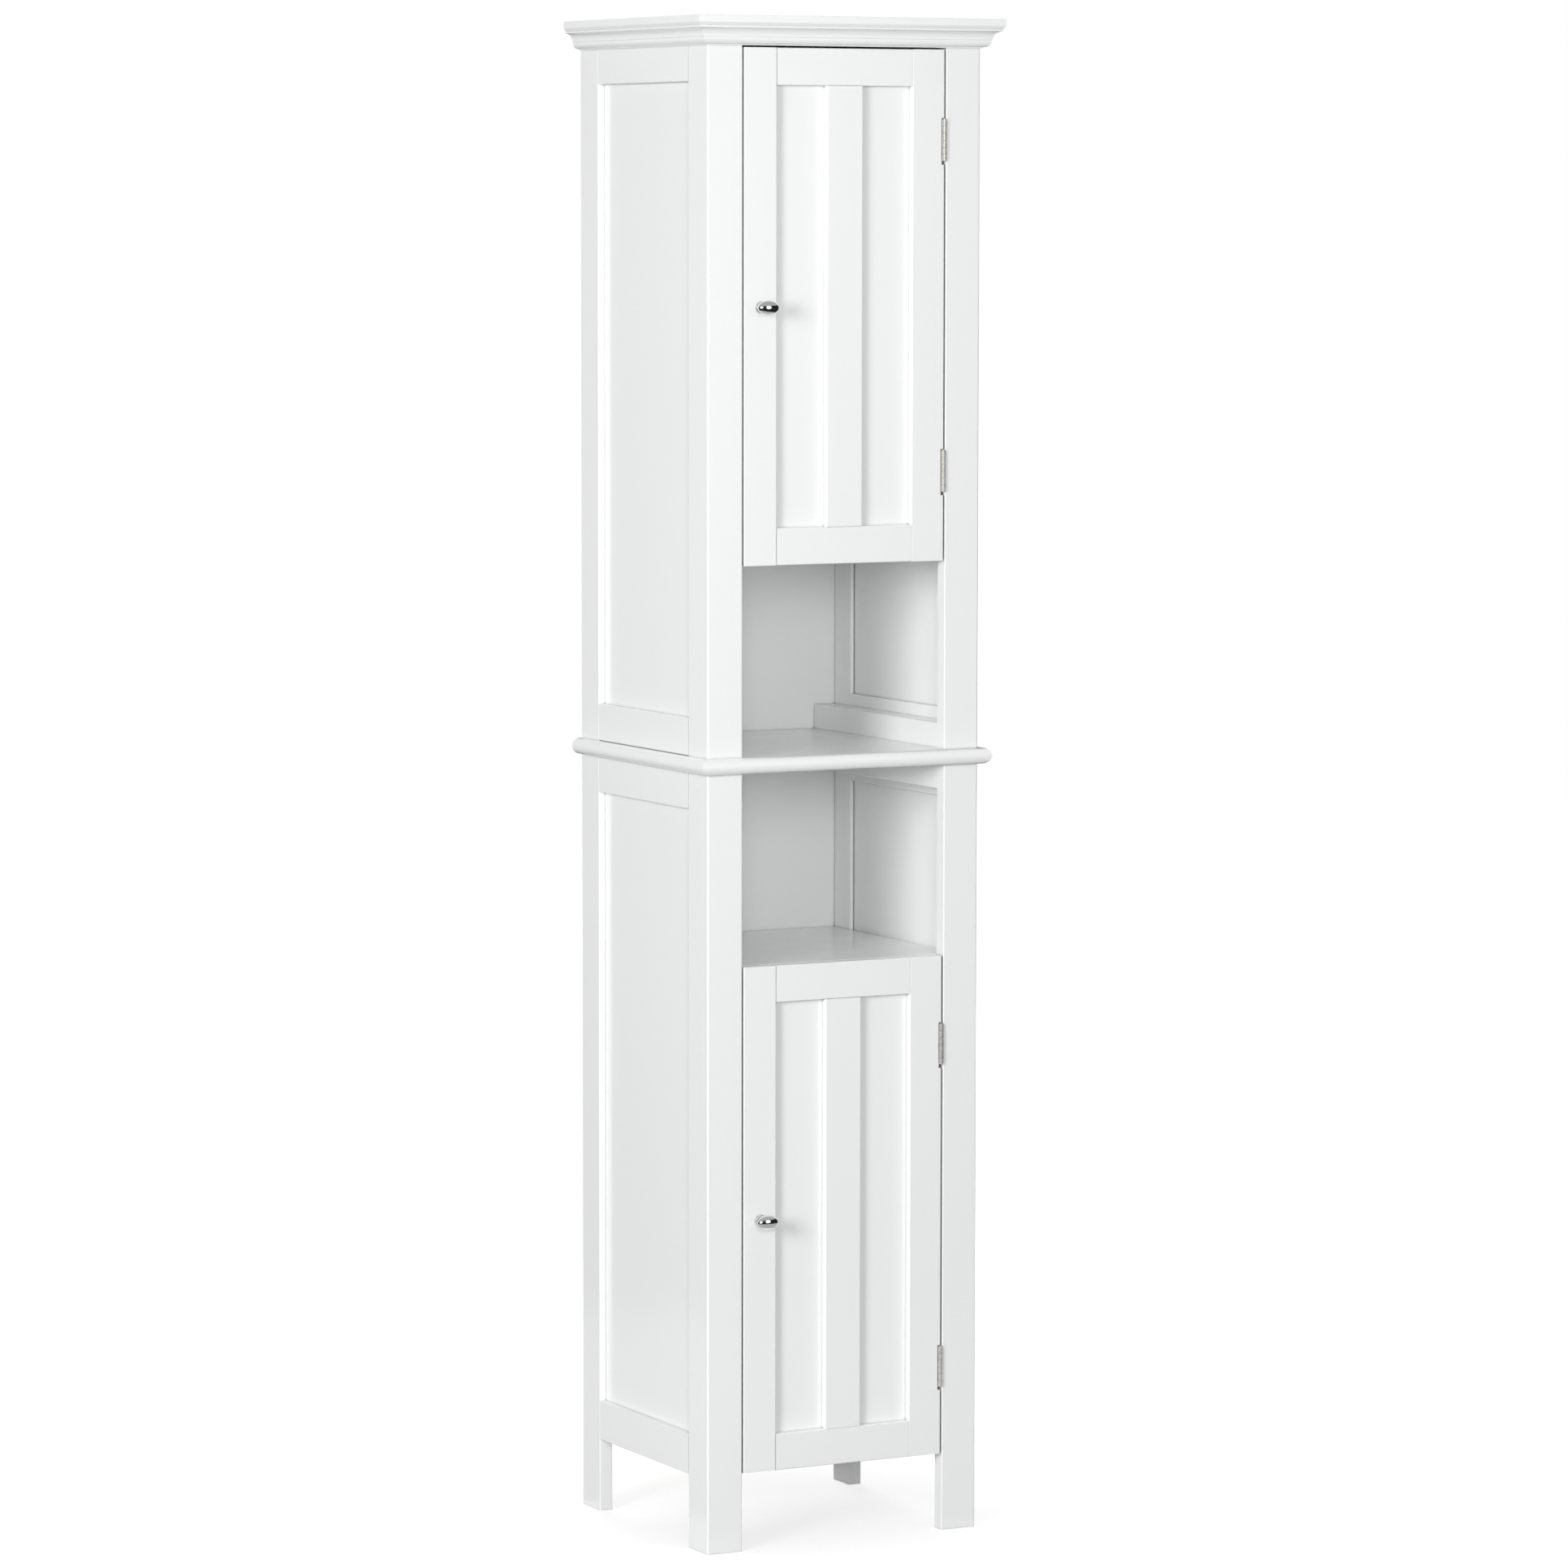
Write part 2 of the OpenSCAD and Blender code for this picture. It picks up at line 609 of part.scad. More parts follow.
// Butt hinges. A leaf keeps the knuckles whose number is odd or even, and is cut back round the others
module knuckle(i, r)
    translate([xa, ya, (i - knuckles / 2) * knuckle_h + knuckle_split / 2])
        cylinder(h = knuckle_h - knuckle_split, r = r);

module knuckle_clearance(i)
    translate([xa, ya, (i - knuckles / 2) * knuckle_h - (i == 0 ? cut : 0)])
        cylinder(h = knuckle_h + (i == 0 || i == knuckles - 1 ? cut : 0), r = knuckle_r + knuckle_gap);

module leaf(x0, parity)
    difference() {
        union() {
            block([x0, ya, -hinge_len / 2], [x0 + leaf_t, yf + leaf_reach, hinge_len / 2]);
            for (i = [0 : knuckles - 1]) if (i % 2 == parity) knuckle(i, knuckle_r);
        }
        for (i = [0 : knuckles - 1]) if (i % 2 != parity) knuckle_clearance(i);
        translate([xa, ya, -hinge_len]) cylinder(h = 2 * hinge_len, r = pin_r + pin_fit);
        for (z = [-screw_pitch, 0, screw_pitch])
            translate([x0 + leaf_t / 2, yf + screw_y, z]) rotate([0, parity == 0 ? -90 : 90, 0]) screw_hole();
    }

// Countersunk towards +Z
module screw_hole() {
    cylinder(h = leaf_t + 2 * cut, r = screw_r, center = true);
    translate([0, 0, screw_land - leaf_t / 2]) cylinder(h = leaf_t, r1 = screw_r, r2 = screw_r + leaf_t);
}

module at_hinges(z0) for (z = hinge_heights(z0)) translate([0, 0, z]) children();

module hinge_frame_leaves()
    color(nickel) for (z0 = [lower_door_z, upper_door_z]) at_hinges(z0) leaf(xs - leaf_t, 0);

module door_hinge_leaves(z0) color(nickel) at_hinges(z0) leaf(xd, 1);

module hinge_pins()
    color(nickel) for (z0 = [lower_door_z, upper_door_z]) at_hinges(z0) translate([xa, ya, 0]) {
        translate([0, 0, -hinge_len / 2]) cylinder(h = hinge_len + pin_head_h / 2, r = pin_r);
        translate([0, 0, hinge_len / 2]) cylinder(h = pin_head_h, r = pin_head_r);
    }

// An oval knob: a flattened egg on a waisted neck and a round base. Its axis runs out along -Y
module knob(z0) {
    base_r = knob_base_d / 2;
    neck_r = knob_neck_d / 2;
    head_y = knob_proj - knob_t / 2;
    neck_top = head_y - knob_t / 4;
    flare = (neck_top - knob_base_t) / 2;
    waist = knob_base_t + flare;
    color(chrome) translate([knob_x, yf, z0 + door_h / 2]) rotate([90, 0, 0]) {
        rotate_extrude() difference() {
            union() {
                square([base_r - ease, neck_top]);
                square([base_r, knob_base_t - ease]);
            }
            translate([neck_r + flare, waist]) circle(flare);
            translate([neck_r + flare, knob_base_t]) square(2 * flare);
        }
        translate([0, 0, head_y]) scale([knob_w / 2, knob_h / 2, knob_t / 2]) sphere(1, $fn = 40);
    }
}

// Magnetic catch: a housing with two slots at its front, where its pole plates stand
module catch_housing() {
    e = 2 * ease;
    difference() {
        translate([0, catch_d, 0]) rotate([90, 0, 0]) linear_extrude(catch_d)
            polygon(eased_rect([-catch_w / 2, 0], [catch_w / 2, catch_h], [e, e, e, e]));
        for (z = [catch_h / 3, catch_h * 2 / 3])
            block([-strike_w / 2, -cut, z - catch_slot / 2], [strike_w / 2, catch_slot, z + catch_slot / 2]);
    }
}

module door_catches()
    color(catch_white) {
        translate([catch_x, catch_y, niche_z - catch_h]) catch_housing();
        translate([catch_x, catch_y, floor_z + fixed_board_t]) catch_housing();
    }

module strike_plate(z)
    color(nickel) translate([0, yd + strike_t, 0]) rotate([90, 0, 0]) linear_extrude(strike_t)
        polygon(eased_rect([catch_x - strike_w / 2, z - strike_h / 2],
                           [catch_x + strike_w / 2, z + strike_h / 2], [ease, ease, ease, ease]));

lower_rear();  // lower_left_rear_stile
lower_front();  // lower_left_front_stile
face_stile(0, lower_h);  // lower_left_face_stile
top_rail(lower_h, lower_top_rail_w);  // lower_left_top_rail
bottom_rail(leg_h, lower_bottom_rail_w);  // lower_left_bottom_rail
on_side(1) lower_rear();  // lower_right_rear_stile
on_side(1) lower_front();  // lower_right_front_stile
on_side(1) face_stile(0, lower_h);  // lower_right_face_stile
on_side(1) top_rail(lower_h, lower_top_rail_w);  // lower_right_top_rail
on_side(1) bottom_rail(leg_h, lower_bottom_rail_w);  // lower_right_bottom_rail
side_panels(leg_h + lower_bottom_rail_w, lower_h - lower_top_rail_w);  // lower_side_panels
back_panel(base_z, lower_h);  // lower_back_panel
fixed_board(base_z);  // base_panel
shelf(lower_shelf_z);  // lower_shelf
fixed_board(niche_z);  // niche_floor
mid_board();
upper_rear();  // upper_left_rear_stile
upper_front();  // upper_left_front_stile
face_stile(zm1, zt);  // upper_left_face_stile
top_rail(zt, upper_top_rail_w);  // upper_left_top_rail
bottom_rail(zm1, upper_bottom_rail_w);  // upper_left_bottom_rail
on_side(1) upper_rear();  // upper_right_rear_stile
on_side(1) upper_front();  // upper_right_front_stile
on_side(1) face_stile(zm1, zt);  // upper_right_face_stile
on_side(1) top_rail(zt, upper_top_rail_w);  // upper_right_top_rail
on_side(1) bottom_rail(zm1, upper_bottom_rail_w);  // upper_right_bottom_rail
side_panels(zm1 + upper_bottom_rail_w, zt - upper_top_rail_w);  // upper_side_panels
back_panel(zm1, zt, holes = true);  // upper_back_panel
fixed_board(floor_z, up = 1);  // cupboard_floor
shelf(upper_shelf_z);  // upper_shelf
header_rail();
wall_rail();
top_board();
crown_front_moulding();
crown_side_mouldings();
stacking_cleats();
door_knob_stile(upper_door_z);  // upper_door_knob_stile
door_hinge_stile(upper_door_z);  // upper_door_hinge_stile
door_top_rail(upper_door_z);  // upper_door_top_rail
door_bottom_rail(upper_door_z);  // upper_door_bottom_rail
door_middle_stile(upper_door_z);  // upper_door_middle_stile
door_panels(upper_door_z);  // upper_door_panels
door_knob_stile(lower_door_z);  // lower_door_knob_stile
door_hinge_stile(lower_door_z);  // lower_door_hinge_stile
door_top_rail(lower_door_z);  // lower_door_top_rail
door_bottom_rail(lower_door_z);  // lower_door_bottom_rail
door_middle_stile(lower_door_z);  // lower_door_middle_stile
door_panels(lower_door_z);  // lower_door_panels
hinge_frame_leaves();
door_hinge_leaves(upper_door_z);  // upper_door_hinge_leaves
door_hinge_leaves(lower_door_z);  // lower_door_hinge_leaves
hinge_pins();
knob(upper_door_z);  // upper_knob
knob(lower_door_z);  // lower_knob
shelf_pins();
cam_locks();
cam_bolts();
door_catches();
strike_plate(floor_z + fixed_board_t + catch_h / 2);  // upper_strike_plate
strike_plate(niche_z - catch_h / 2);  // lower_strike_plate
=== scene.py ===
"""Finish, trim and stage of a tall white bathroom cabinet, laid round its packed frame."""

import math

import bmesh
import bpy
from bpy.props import FloatProperty, FloatVectorProperty, IntProperty, PointerProperty
from mathutils import Matrix, Vector


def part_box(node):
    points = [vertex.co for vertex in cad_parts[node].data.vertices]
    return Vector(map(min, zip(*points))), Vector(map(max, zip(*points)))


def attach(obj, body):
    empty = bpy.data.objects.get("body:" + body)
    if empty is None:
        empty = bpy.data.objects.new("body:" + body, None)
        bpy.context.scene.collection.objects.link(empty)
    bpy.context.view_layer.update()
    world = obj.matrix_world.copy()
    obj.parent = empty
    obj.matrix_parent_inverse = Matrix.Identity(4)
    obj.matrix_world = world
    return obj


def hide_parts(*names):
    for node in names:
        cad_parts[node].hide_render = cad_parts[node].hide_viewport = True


bl_info = {
    "name": "Tall Bathroom Cabinet",
    "version": (1, 0, 0),
    "blender": (4, 5, 0),
    "location": "View3D > Sidebar > Cabinet",
    "description": "Paint, mouldings, fittings and studio for a tall two-stage bathroom cabinet",
    "category": "Object",
}

MM = 0.001

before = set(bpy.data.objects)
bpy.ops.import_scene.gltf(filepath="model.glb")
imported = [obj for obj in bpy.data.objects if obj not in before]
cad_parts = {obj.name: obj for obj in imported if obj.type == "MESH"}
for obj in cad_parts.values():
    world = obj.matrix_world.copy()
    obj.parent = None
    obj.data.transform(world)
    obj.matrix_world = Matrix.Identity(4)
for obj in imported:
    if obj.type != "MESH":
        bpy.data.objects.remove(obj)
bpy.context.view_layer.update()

# Places taken from the packed frame, in metres
CARCASS = "carcass"
UNITS = ("lower", "upper")
DOOR_PARTS = ("knob_stile", "hinge_stile", "top_rail", "bottom_rail", "middle_stile", "panels")
FRAME_PARTS = ("rear_stile", "front_stile", "face_stile", "top_rail", "bottom_rail")
FACE_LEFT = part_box("upper_left_face_stile")
FACE_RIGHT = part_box("upper_right_face_stile")
REAR_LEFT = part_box("upper_left_rear_stile")
LEFT, RIGHT = FACE_LEFT[0].x, FACE_RIGHT[1].x
FRONT, BACK = FACE_LEFT[0].y, REAR_LEFT[1].y
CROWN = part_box("crown_front_moulding")
TOP_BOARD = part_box("top_board")
MID_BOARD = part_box("mid_board")


class PaintSettings(bpy.types.PropertyGroup):
    """Satin paint on the frames, doors and boards"""

    colour: FloatVectorProperty(
        name="Paint", description="Colour of the satin paint", subtype="COLOR", size=3,
        min=0, max=1, default=(0.935, 0.94, 0.94))
    board_colour: FloatVectorProperty(
        name="Inner boards", description="Colour of the shelves, floors and back panels", subtype="COLOR",
        size=3, min=0, max=1, default=(0.93, 0.936, 0.938))
    raw_colour: FloatVectorProperty(
        name="Raw fibreboard", description="Colour of the unpainted rear faces of the back panels",
        subtype="COLOR", size=3, min=0, max=1, default=(0.50, 0.36, 0.22))
    # Painted shade in narrow gaps: the colour that the paint is darkened to where shade falls, and how far
    # that reaches
    gap_shade_colour: FloatVectorProperty(
        name="Gaps", description="Colour of the thin paint inside narrow gaps", subtype="COLOR", size=3,
        min=0, max=1, default=(0.16, 0.16, 0.16))
    gap_reach: FloatProperty(
        name="Gap reach", description="How near the surfaces on both sides of a gap are", subtype="DISTANCE",
        unit="LENGTH", min=0.001, max=0.02, default=4 * MM)
    roughness: FloatProperty(
        name="Roughness", description="Roughness of the satin paint", min=0.1, max=0.9, default=0.16)
    peel_size: FloatProperty(
        name="Peel size", description="Width of the paint's fine dimples", subtype="DISTANCE", unit="LENGTH",
        min=0.0005, max=0.01, default=1.6 * MM)
    grain_width: FloatProperty(
        name="Grain width", description="Width of the wood grain that shows through the paint",
        subtype="DISTANCE", unit="LENGTH", min=0.0003, max=0.01, default=1.1 * MM)
    grain_length: FloatProperty(
        name="Grain length", description="Length of the wood grain that shows through the paint",
        subtype="DISTANCE", unit="LENGTH", min=0.005, max=0.3, default=60 * MM)
    arris: FloatProperty(
        name="Arris", description="Width of the rounding on each side of an eased edge", subtype="DISTANCE",
        unit="LENGTH", min=0.00005, max=0.001, default=0.3 * MM)


class CrownSettings(bpy.types.PropertyGroup):
    """Section of the crown moulding, and the edges of the top and mid boards"""

    cove: FloatProperty(
        name="Cove", description="Radius of the cove", subtype="DISTANCE", unit="LENGTH",
        min=0.005, max=0.0095, default=8.6 * MM)
    fillet: FloatProperty(
        name="Top fillet", description="Height of the fillet above the cove", subtype="DISTANCE",
        unit="LENGTH", min=0.001, max=0.003, default=2.4 * MM)
    quirk: FloatProperty(
        name="Quirk", description="Width of the step between the cove and the bead", subtype="DISTANCE",
        unit="LENGTH", min=0.0005, max=0.0015, default=1.0 * MM)
    bead: FloatProperty(
        name="Bead", description="Radius of the bead", subtype="DISTANCE", unit="LENGTH",
        min=0.004, max=0.006, default=5.8 * MM)
    foot: FloatProperty(
        name="Foot", description="Projection of the lowest fillet", subtype="DISTANCE", unit="LENGTH",
        min=0.001, max=0.003, default=2.0 * MM)
    foot_height: FloatProperty(
        name="Foot height", description="Height of the lowest fillet", subtype="DISTANCE", unit="LENGTH",
        min=0.001, max=0.002, default=1.4 * MM)
    bevel_width: FloatProperty(
        name="Bevel width", description="Width of the bevel under the top board", subtype="DISTANCE",
        unit="LENGTH", min=0.001, max=0.003, default=2.2 * MM)
    bevel_height: FloatProperty(
        name="Bevel height", description="Height of the bevel under the top board", subtype="DISTANCE",
        unit="LENGTH", min=0.001, max=0.005, default=3.4 * MM)
    softness: FloatProperty(
        name="Softness", description="Radius of the paint-filled corners of the mouldings",
        subtype="DISTANCE", unit="LENGTH", min=0.00005, max=0.0006, default=0.3 * MM)
    steps: IntProperty(
        name="Steps", description="Segments in a quarter turn of the mouldings", min=4, max=32, default=16)


class KnobSettings(bpy.types.PropertyGroup):
    """The two oval knobs"""

    thickness: FloatProperty(
        name="Thickness", description="Thickness of the oval head", subtype="DISTANCE", unit="LENGTH",
        min=0.006, max=0.016, default=12 * MM)
    base: FloatProperty(
        name="Base", description="Diameter of the round base", subtype="DISTANCE", unit="LENGTH", min=0.008,
        max=0.018, default=13 * MM)
    base_height: FloatProperty(
        name="Base height", description="Thickness of the round base", subtype="DISTANCE", unit="LENGTH",
        min=0.001, max=0.004, default=2.4 * MM)
    neck: FloatProperty(
        name="Neck", description="Diameter of the neck at its waist", subtype="DISTANCE", unit="LENGTH",
        min=0.004, max=0.01, default=7 * MM)
    segments: IntProperty(name="Segments", description="Segments round a knob", min=24, max=128, default=72)


class FixingSettings(bpy.types.PropertyGroup):
    """Screws and tacks"""

    hinge_screw: FloatProperty(
        name="Hinge screw", description="Radius of the heads of the hinge screws", subtype="DISTANCE",
        unit="LENGTH", min=0.001, max=0.003, default=1.75 * MM)
    strike_screw: FloatProperty(
        name="Strike screw", description="Radius of the heads of the strike plates' screws",
        subtype="DISTANCE", unit="LENGTH", min=0.002, max=0.005, default=2.88 * MM)
    pan_screw: FloatProperty(
        name="Pan-head screw", description="Radius of the heads of the catch screws", subtype="DISTANCE",
        unit="LENGTH", min=0.002, max=0.006, default=2.6 * MM)
    knob_screw: FloatProperty(
        name="Knob screw", description="Radius of the heads of the knobs' screws", subtype="DISTANCE",
        unit="LENGTH", min=0.002, max=0.008, default=3.64 * MM)
    tack: FloatProperty(
        name="Tack", description="Radius of the heads of the back panels' tacks", subtype="DISTANCE",
        unit="LENGTH", min=0.001, max=0.004, default=2.0 * MM)
    tack_pitch: FloatProperty(
        name="Tack pitch", description="Largest distance between neighbouring tacks", subtype="DISTANCE",
        unit="LENGTH", min=0.04, max=0.3, default=110 * MM)
    seed: IntProperty(name="Seed", description="Seed of the turn of each screw's cross", min=0, default=7)


class StageSettings(bpy.types.PropertyGroup):
    """Camera, lamps and floor"""

    lens: FloatProperty(
        name="Lens", description="Focal length on a 36 mm wide sensor", subtype="DISTANCE_CAMERA",
        min=20, max=400, default=147.13)
    place: FloatVectorProperty(
        name="Camera place", description="Place of the camera", subtype="TRANSLATION", unit="LENGTH", size=3,
        default=(-3.3404, -6.4015, 1.5059))
    yaw: FloatProperty(
        name="Yaw", description="Turn of the view from straight ahead to the right", subtype="ANGLE",
        unit="ROTATION", default=math.radians(27.565))
    pitch: FloatProperty(
        name="Pitch", description="Tilt of the view below level", subtype="ANGLE", unit="ROTATION",
        default=math.radians(5.256))
    roll: FloatProperty(
        name="Roll", description="Roll of the camera", subtype="ANGLE", unit="ROTATION",
        default=math.radians(0.064))
    distance: FloatProperty(
        name="Softbox distance", description="Distance of the front and left softboxes from the cabinet",
        subtype="DISTANCE", unit="LENGTH", min=1, default=6.0)
    aim_height: FloatProperty(
        name="Aim height", description="Height that all softboxes but the left one aim at",
        subtype="DISTANCE", unit="LENGTH", default=1.2)
    key_height: FloatProperty(
        name="Key height", description="Height that the left softbox aims at", subtype="DISTANCE",
        unit="LENGTH", default=0.9)
    rise: FloatProperty(
        name="Rise", description="Angle of the left softbox above level, twice that of the front one",
        subtype="ANGLE", unit="ROTATION", default=math.radians(10))
    ambient: FloatProperty(
        name="Ambient", description="Strength of the even light from all round", min=0, max=2, default=0.345)
    key: FloatProperty(
        name="Key", description="Power of the left softbox", subtype="POWER", min=0, default=204)
    fill: FloatProperty(
        name="Fill", description="Power of the front softbox", subtype="POWER", min=0, default=113)
    top: FloatProperty(
        name="Top", description="Power of the overhead softbox", subtype="POWER", min=0, default=15)
    rear: FloatProperty(
        name="Rear", description="Power of the rear softbox", subtype="POWER", min=0, default=90)
    floor_tone: FloatProperty(
        name="Floor tone", description="Paleness of the floor", min=0, max=1, default=0.4)
    glow: FloatProperty(
        name="Glow", description="Brightness of the ovals that the surfaces reflect", min=0, max=20,
        default=1.5)
    flag_tone: FloatProperty(
        name="Flag tone", description="Paleness of the dark walls that the surfaces reflect", min=0, max=1,
        default=0.02)
    flag_floor: FloatProperty(
        name="Flag floor", description="Paleness of the near floor that the surfaces reflect", min=0,
        max=1, default=0.45)
    flag_ceiling: FloatProperty(
        name="Flag ceiling", description="Paleness of the ceiling that the surfaces reflect", min=0, max=1,
        default=0.42)


# Helpers for node trees


def add_node(tree, kind, **settings):
    """A node with its properties set."""
    node = tree.nodes.new(kind)
    for name, value in settings.items():
        setattr(node, name, value)
    return node


def socket(sockets, name):
    """The socket of that name that is in use."""
    return next(s for s in sockets if s.name == name and s.enabled)


def feed(tree, node, name, value):
    """Sets an input of a node, or links it to another node's output."""
    target = socket(node.inputs, name)
    if isinstance(value, bpy.types.NodeSocket):
        tree.links.new(value, target)
    else:
        target.default_value = value
    return target


def maths(tree, operation, a, b=0.0):
    """The output of a Math node."""
    node = add_node(tree, "ShaderNodeMath", operation=operation)
    for slot, value in zip(node.inputs, (a, b)):
        if isinstance(value, bpy.types.NodeSocket):
            tree.links.new(value, slot)
        else:
            slot.default_value = value
    return node.outputs[0]


# Materials

# How often the textures repeat in a metre along X, Y and Z
CLOUD_SCALE = (5.0, 5.0, 3.0)
PATCH_SCALE = (38.0, 38.0, 22.0)
BOARD_CLOUD_SCALE = (6.0, 6.0, 6.0)
FIBRE_SCALE = (420.0, 420.0, 160.0)
SPECKLE_SCALE = (1500.0, 1500.0, 1500.0)
# Depths of the reliefs
PEEL_DEPTH = 0.0012 * MM
GRAIN_DEPTH = 0.0012 * MM
FIBRE_DEPTH = 0.03 * MM
SPECKLE_DEPTH = 0.02 * MM
# Share of light from outside a gap at which the painted gap shade ends and the paint has its full colour
OPEN_SHARE = 0.6
# How much the paint's roughness falls and rises in patches, and how much rougher the back panels are
PATCH_ROUGHNESS = (-0.01, 0.015)
BACK_ROUGHER, RAW_ROUGHER = 0.04, 0.46


def new_material(name):
    """A material with only a Principled shader, and that shader."""
    material = bpy.data.materials.new(name)
    material.use_nodes = True
    tree = material.node_tree
    tree.nodes.clear()
    shader = add_node(tree, "ShaderNodeBsdfPrincipled")
    output = add_node(tree, "ShaderNodeOutputMaterial")
    tree.links.new(shader.outputs["BSDF"], output.inputs["Surface"])
    return material, tree, shader


def object_noise(tree, scale, detail=2.0, roughness=0.5):
    """Noise on the object's own coordinates; scale is how often it repeats in a metre along X, Y and Z."""
    coords = add_node(tree, "ShaderNodeTexCoord")
    mapping = add_node(tree, "ShaderNodeMapping")
    tree.links.new(coords.outputs["Object"], mapping.inputs["Vector"])
    mapping.inputs["Scale"].default_value = scale
    noise = add_node(tree, "ShaderNodeTexNoise")
    tree.links.new(mapping.outputs["Vector"], noise.inputs["Vector"])
    noise.inputs["Scale"].default_value = 1.0
    noise.inputs["Detail"].default_value = detail
    noise.inputs["Roughness"].default_value = roughness
    return noise.outputs["Fac"]


def spread(tree, value, low, high, start=0.3, end=0.7):
    """Maps noise from its usual span to low..high."""
    node = add_node(tree, "ShaderNodeMapRange")
    for name, number in (("From Min", start), ("From Max", end), ("To Min", low), ("To Max", high)):
        node.inputs[name].default_value = number
    tree.links.new(value, node.inputs["Value"])
    return node.outputs["Result"]


def blend_colours(tree, factor, first, second):
    """A Mix node between two colours, each a tuple or another node's output."""
    node = add_node(tree, "ShaderNodeMix", data_type="RGBA")
    tree.links.new(factor, node.inputs[0])
    for slot, value in ((node.inputs[6], first), (node.inputs[7], second)):
        if isinstance(value, bpy.types.NodeSocket):
            tree.links.new(value, slot)
        else:
            slot.default_value = (*value, 1.0)
    return node.outputs[2]


def relief(tree, shader, heights):
    """Bump nodes in a chain; heights are pairs of a height and its depth in metres."""
    normal = None
    for height, depth in heights:
        bump = add_node(tree, "ShaderNodeBump")
        bump.inputs["Strength"].default_value = 1.0
        bump.inputs["Distance"].default_value = depth
        tree.links.new(height, bump.inputs["Height"])
        if normal:
            tree.links.new(normal, bump.inputs["Normal"])
        normal = bump.outputs["Normal"]
    tree.links.new(normal, shader.inputs["Normal"])


def shade_of(colour, factor):
    """The colour, darker or paler by the factor."""
    return tuple(channel * factor for channel in colour)


def painted_gap_shade(tree, colour, settings):
    """Painted shade: darkens the paint's colour inside narrow gaps by ambient occlusion, where shade falls.
    """
    hollow = add_node(tree, "ShaderNodeAmbientOcclusion", samples=3)
    hollow.inputs["Distance"].default_value = settings.gap_reach
    share = spread(tree, hollow.outputs["AO"], 0, 1, 0.0, OPEN_SHARE)
    return blend_colours(tree, share, settings.gap_shade_colour, colour)


def painted(name, colour, grain, settings):
    """Satin paint, faintly cloudy and finely dimpled, with grain along one axis where that is given."""
    material, tree, shader = new_material(name)
    cloud = object_noise(tree, CLOUD_SCALE, detail=3.0)
    base = blend_colours(tree, cloud, shade_of(colour, 0.994), colour)
    # The base colour carries painted shade in narrow gaps
    tree.links.new(painted_gap_shade(tree, base, settings), shader.inputs["Base Color"])
    patches = object_noise(tree, PATCH_SCALE, detail=4.0, roughness=0.6)
    rough = spread(tree, patches, *(settings.roughness + change for change in PATCH_ROUGHNESS))
    tree.links.new(rough, shader.inputs["Roughness"])
    per_peel = 1 / settings.peel_size
    peel = object_noise(tree, (per_peel, per_peel, per_peel), detail=2.0)
    heights = [(peel, PEEL_DEPTH)]
    if grain:
        scale = [1 / settings.grain_width] * 3
        scale["xyz".index(grain)] = 1 / settings.grain_length
        heights.insert(0, (object_noise(tree, scale, detail=4.0, roughness=0.65), GRAIN_DEPTH))
    relief(tree, shader, heights)
    return material


def back_board(name, settings):
    """Thin fibreboard, painted inside and raw brown on the rear, which faces +Y."""
    material, tree, shader = new_material(name)
    coords = add_node(tree, "ShaderNodeTexCoord")
    parts = add_node(tree, "ShaderNodeSeparateXYZ")
    tree.links.new(coords.outputs["Normal"], parts.inputs["Vector"])
    rear = maths(tree, "GREATER_THAN", parts.outputs["Y"], 0.5)
    cloud = object_noise(tree, BOARD_CLOUD_SCALE, detail=3.0)
    paint = blend_colours(tree, cloud, shade_of(settings.board_colour, 0.985), settings.board_colour)
    fibres = object_noise(tree, FIBRE_SCALE, detail=6.0, roughness=0.75)
    dark, light = (shade_of(settings.raw_colour, factor) for factor in (0.78, 1.12))
    raw = blend_colours(tree, spread(tree, fibres, 0, 1), dark, light)
    base = blend_colours(tree, rear, paint, raw)
    # The base colour carries painted shade in narrow gaps
    tree.links.new(painted_gap_shade(tree, base, settings), shader.inputs["Base Color"])
    rough = maths(tree, "MULTIPLY_ADD", rear, RAW_ROUGHER)
    rough.node.inputs[2].default_value = settings.roughness + BACK_ROUGHER
    tree.links.new(rough, shader.inputs["Roughness"])
    relief(tree, shader, [(fibres, FIBRE_DEPTH)])
    return material


def plated(name, colour, low, high, scale, depth, metallic=1.0):
    """Plated metal whose roughness wanders between low and high."""
    material, tree, shader = new_material(name)
    shader.inputs["Metallic"].default_value = metallic
    wander = object_noise(tree, scale, detail=3.0, roughness=0.6)
    tint = blend_colours(tree, wander, shade_of(colour, 0.93), colour)
    tree.links.new(tint, shader.inputs["Base Color"])
    tree.links.new(spread(tree, wander, low, high), shader.inputs["Roughness"])
    relief(tree, shader, [(object_noise(tree, scale, detail=5.0), depth)])
    return material


def moulded_plastic(name):
    """White moulded plastic with a fine spark-eroded grain."""
    material, tree, shader = new_material(name)
    speckle = object_noise(tree, SPECKLE_SCALE, detail=2.0)
    tint = blend_colours(tree, speckle, (0.78, 0.78, 0.76), (0.82, 0.82, 0.80))
    tree.links.new(tint, shader.inputs["Base Color"])
    tree.links.new(spread(tree, speckle, 0.38, 0.5), shader.inputs["Roughness"])
    relief(tree, shader, [(speckle, SPECKLE_DEPTH)])
    return material


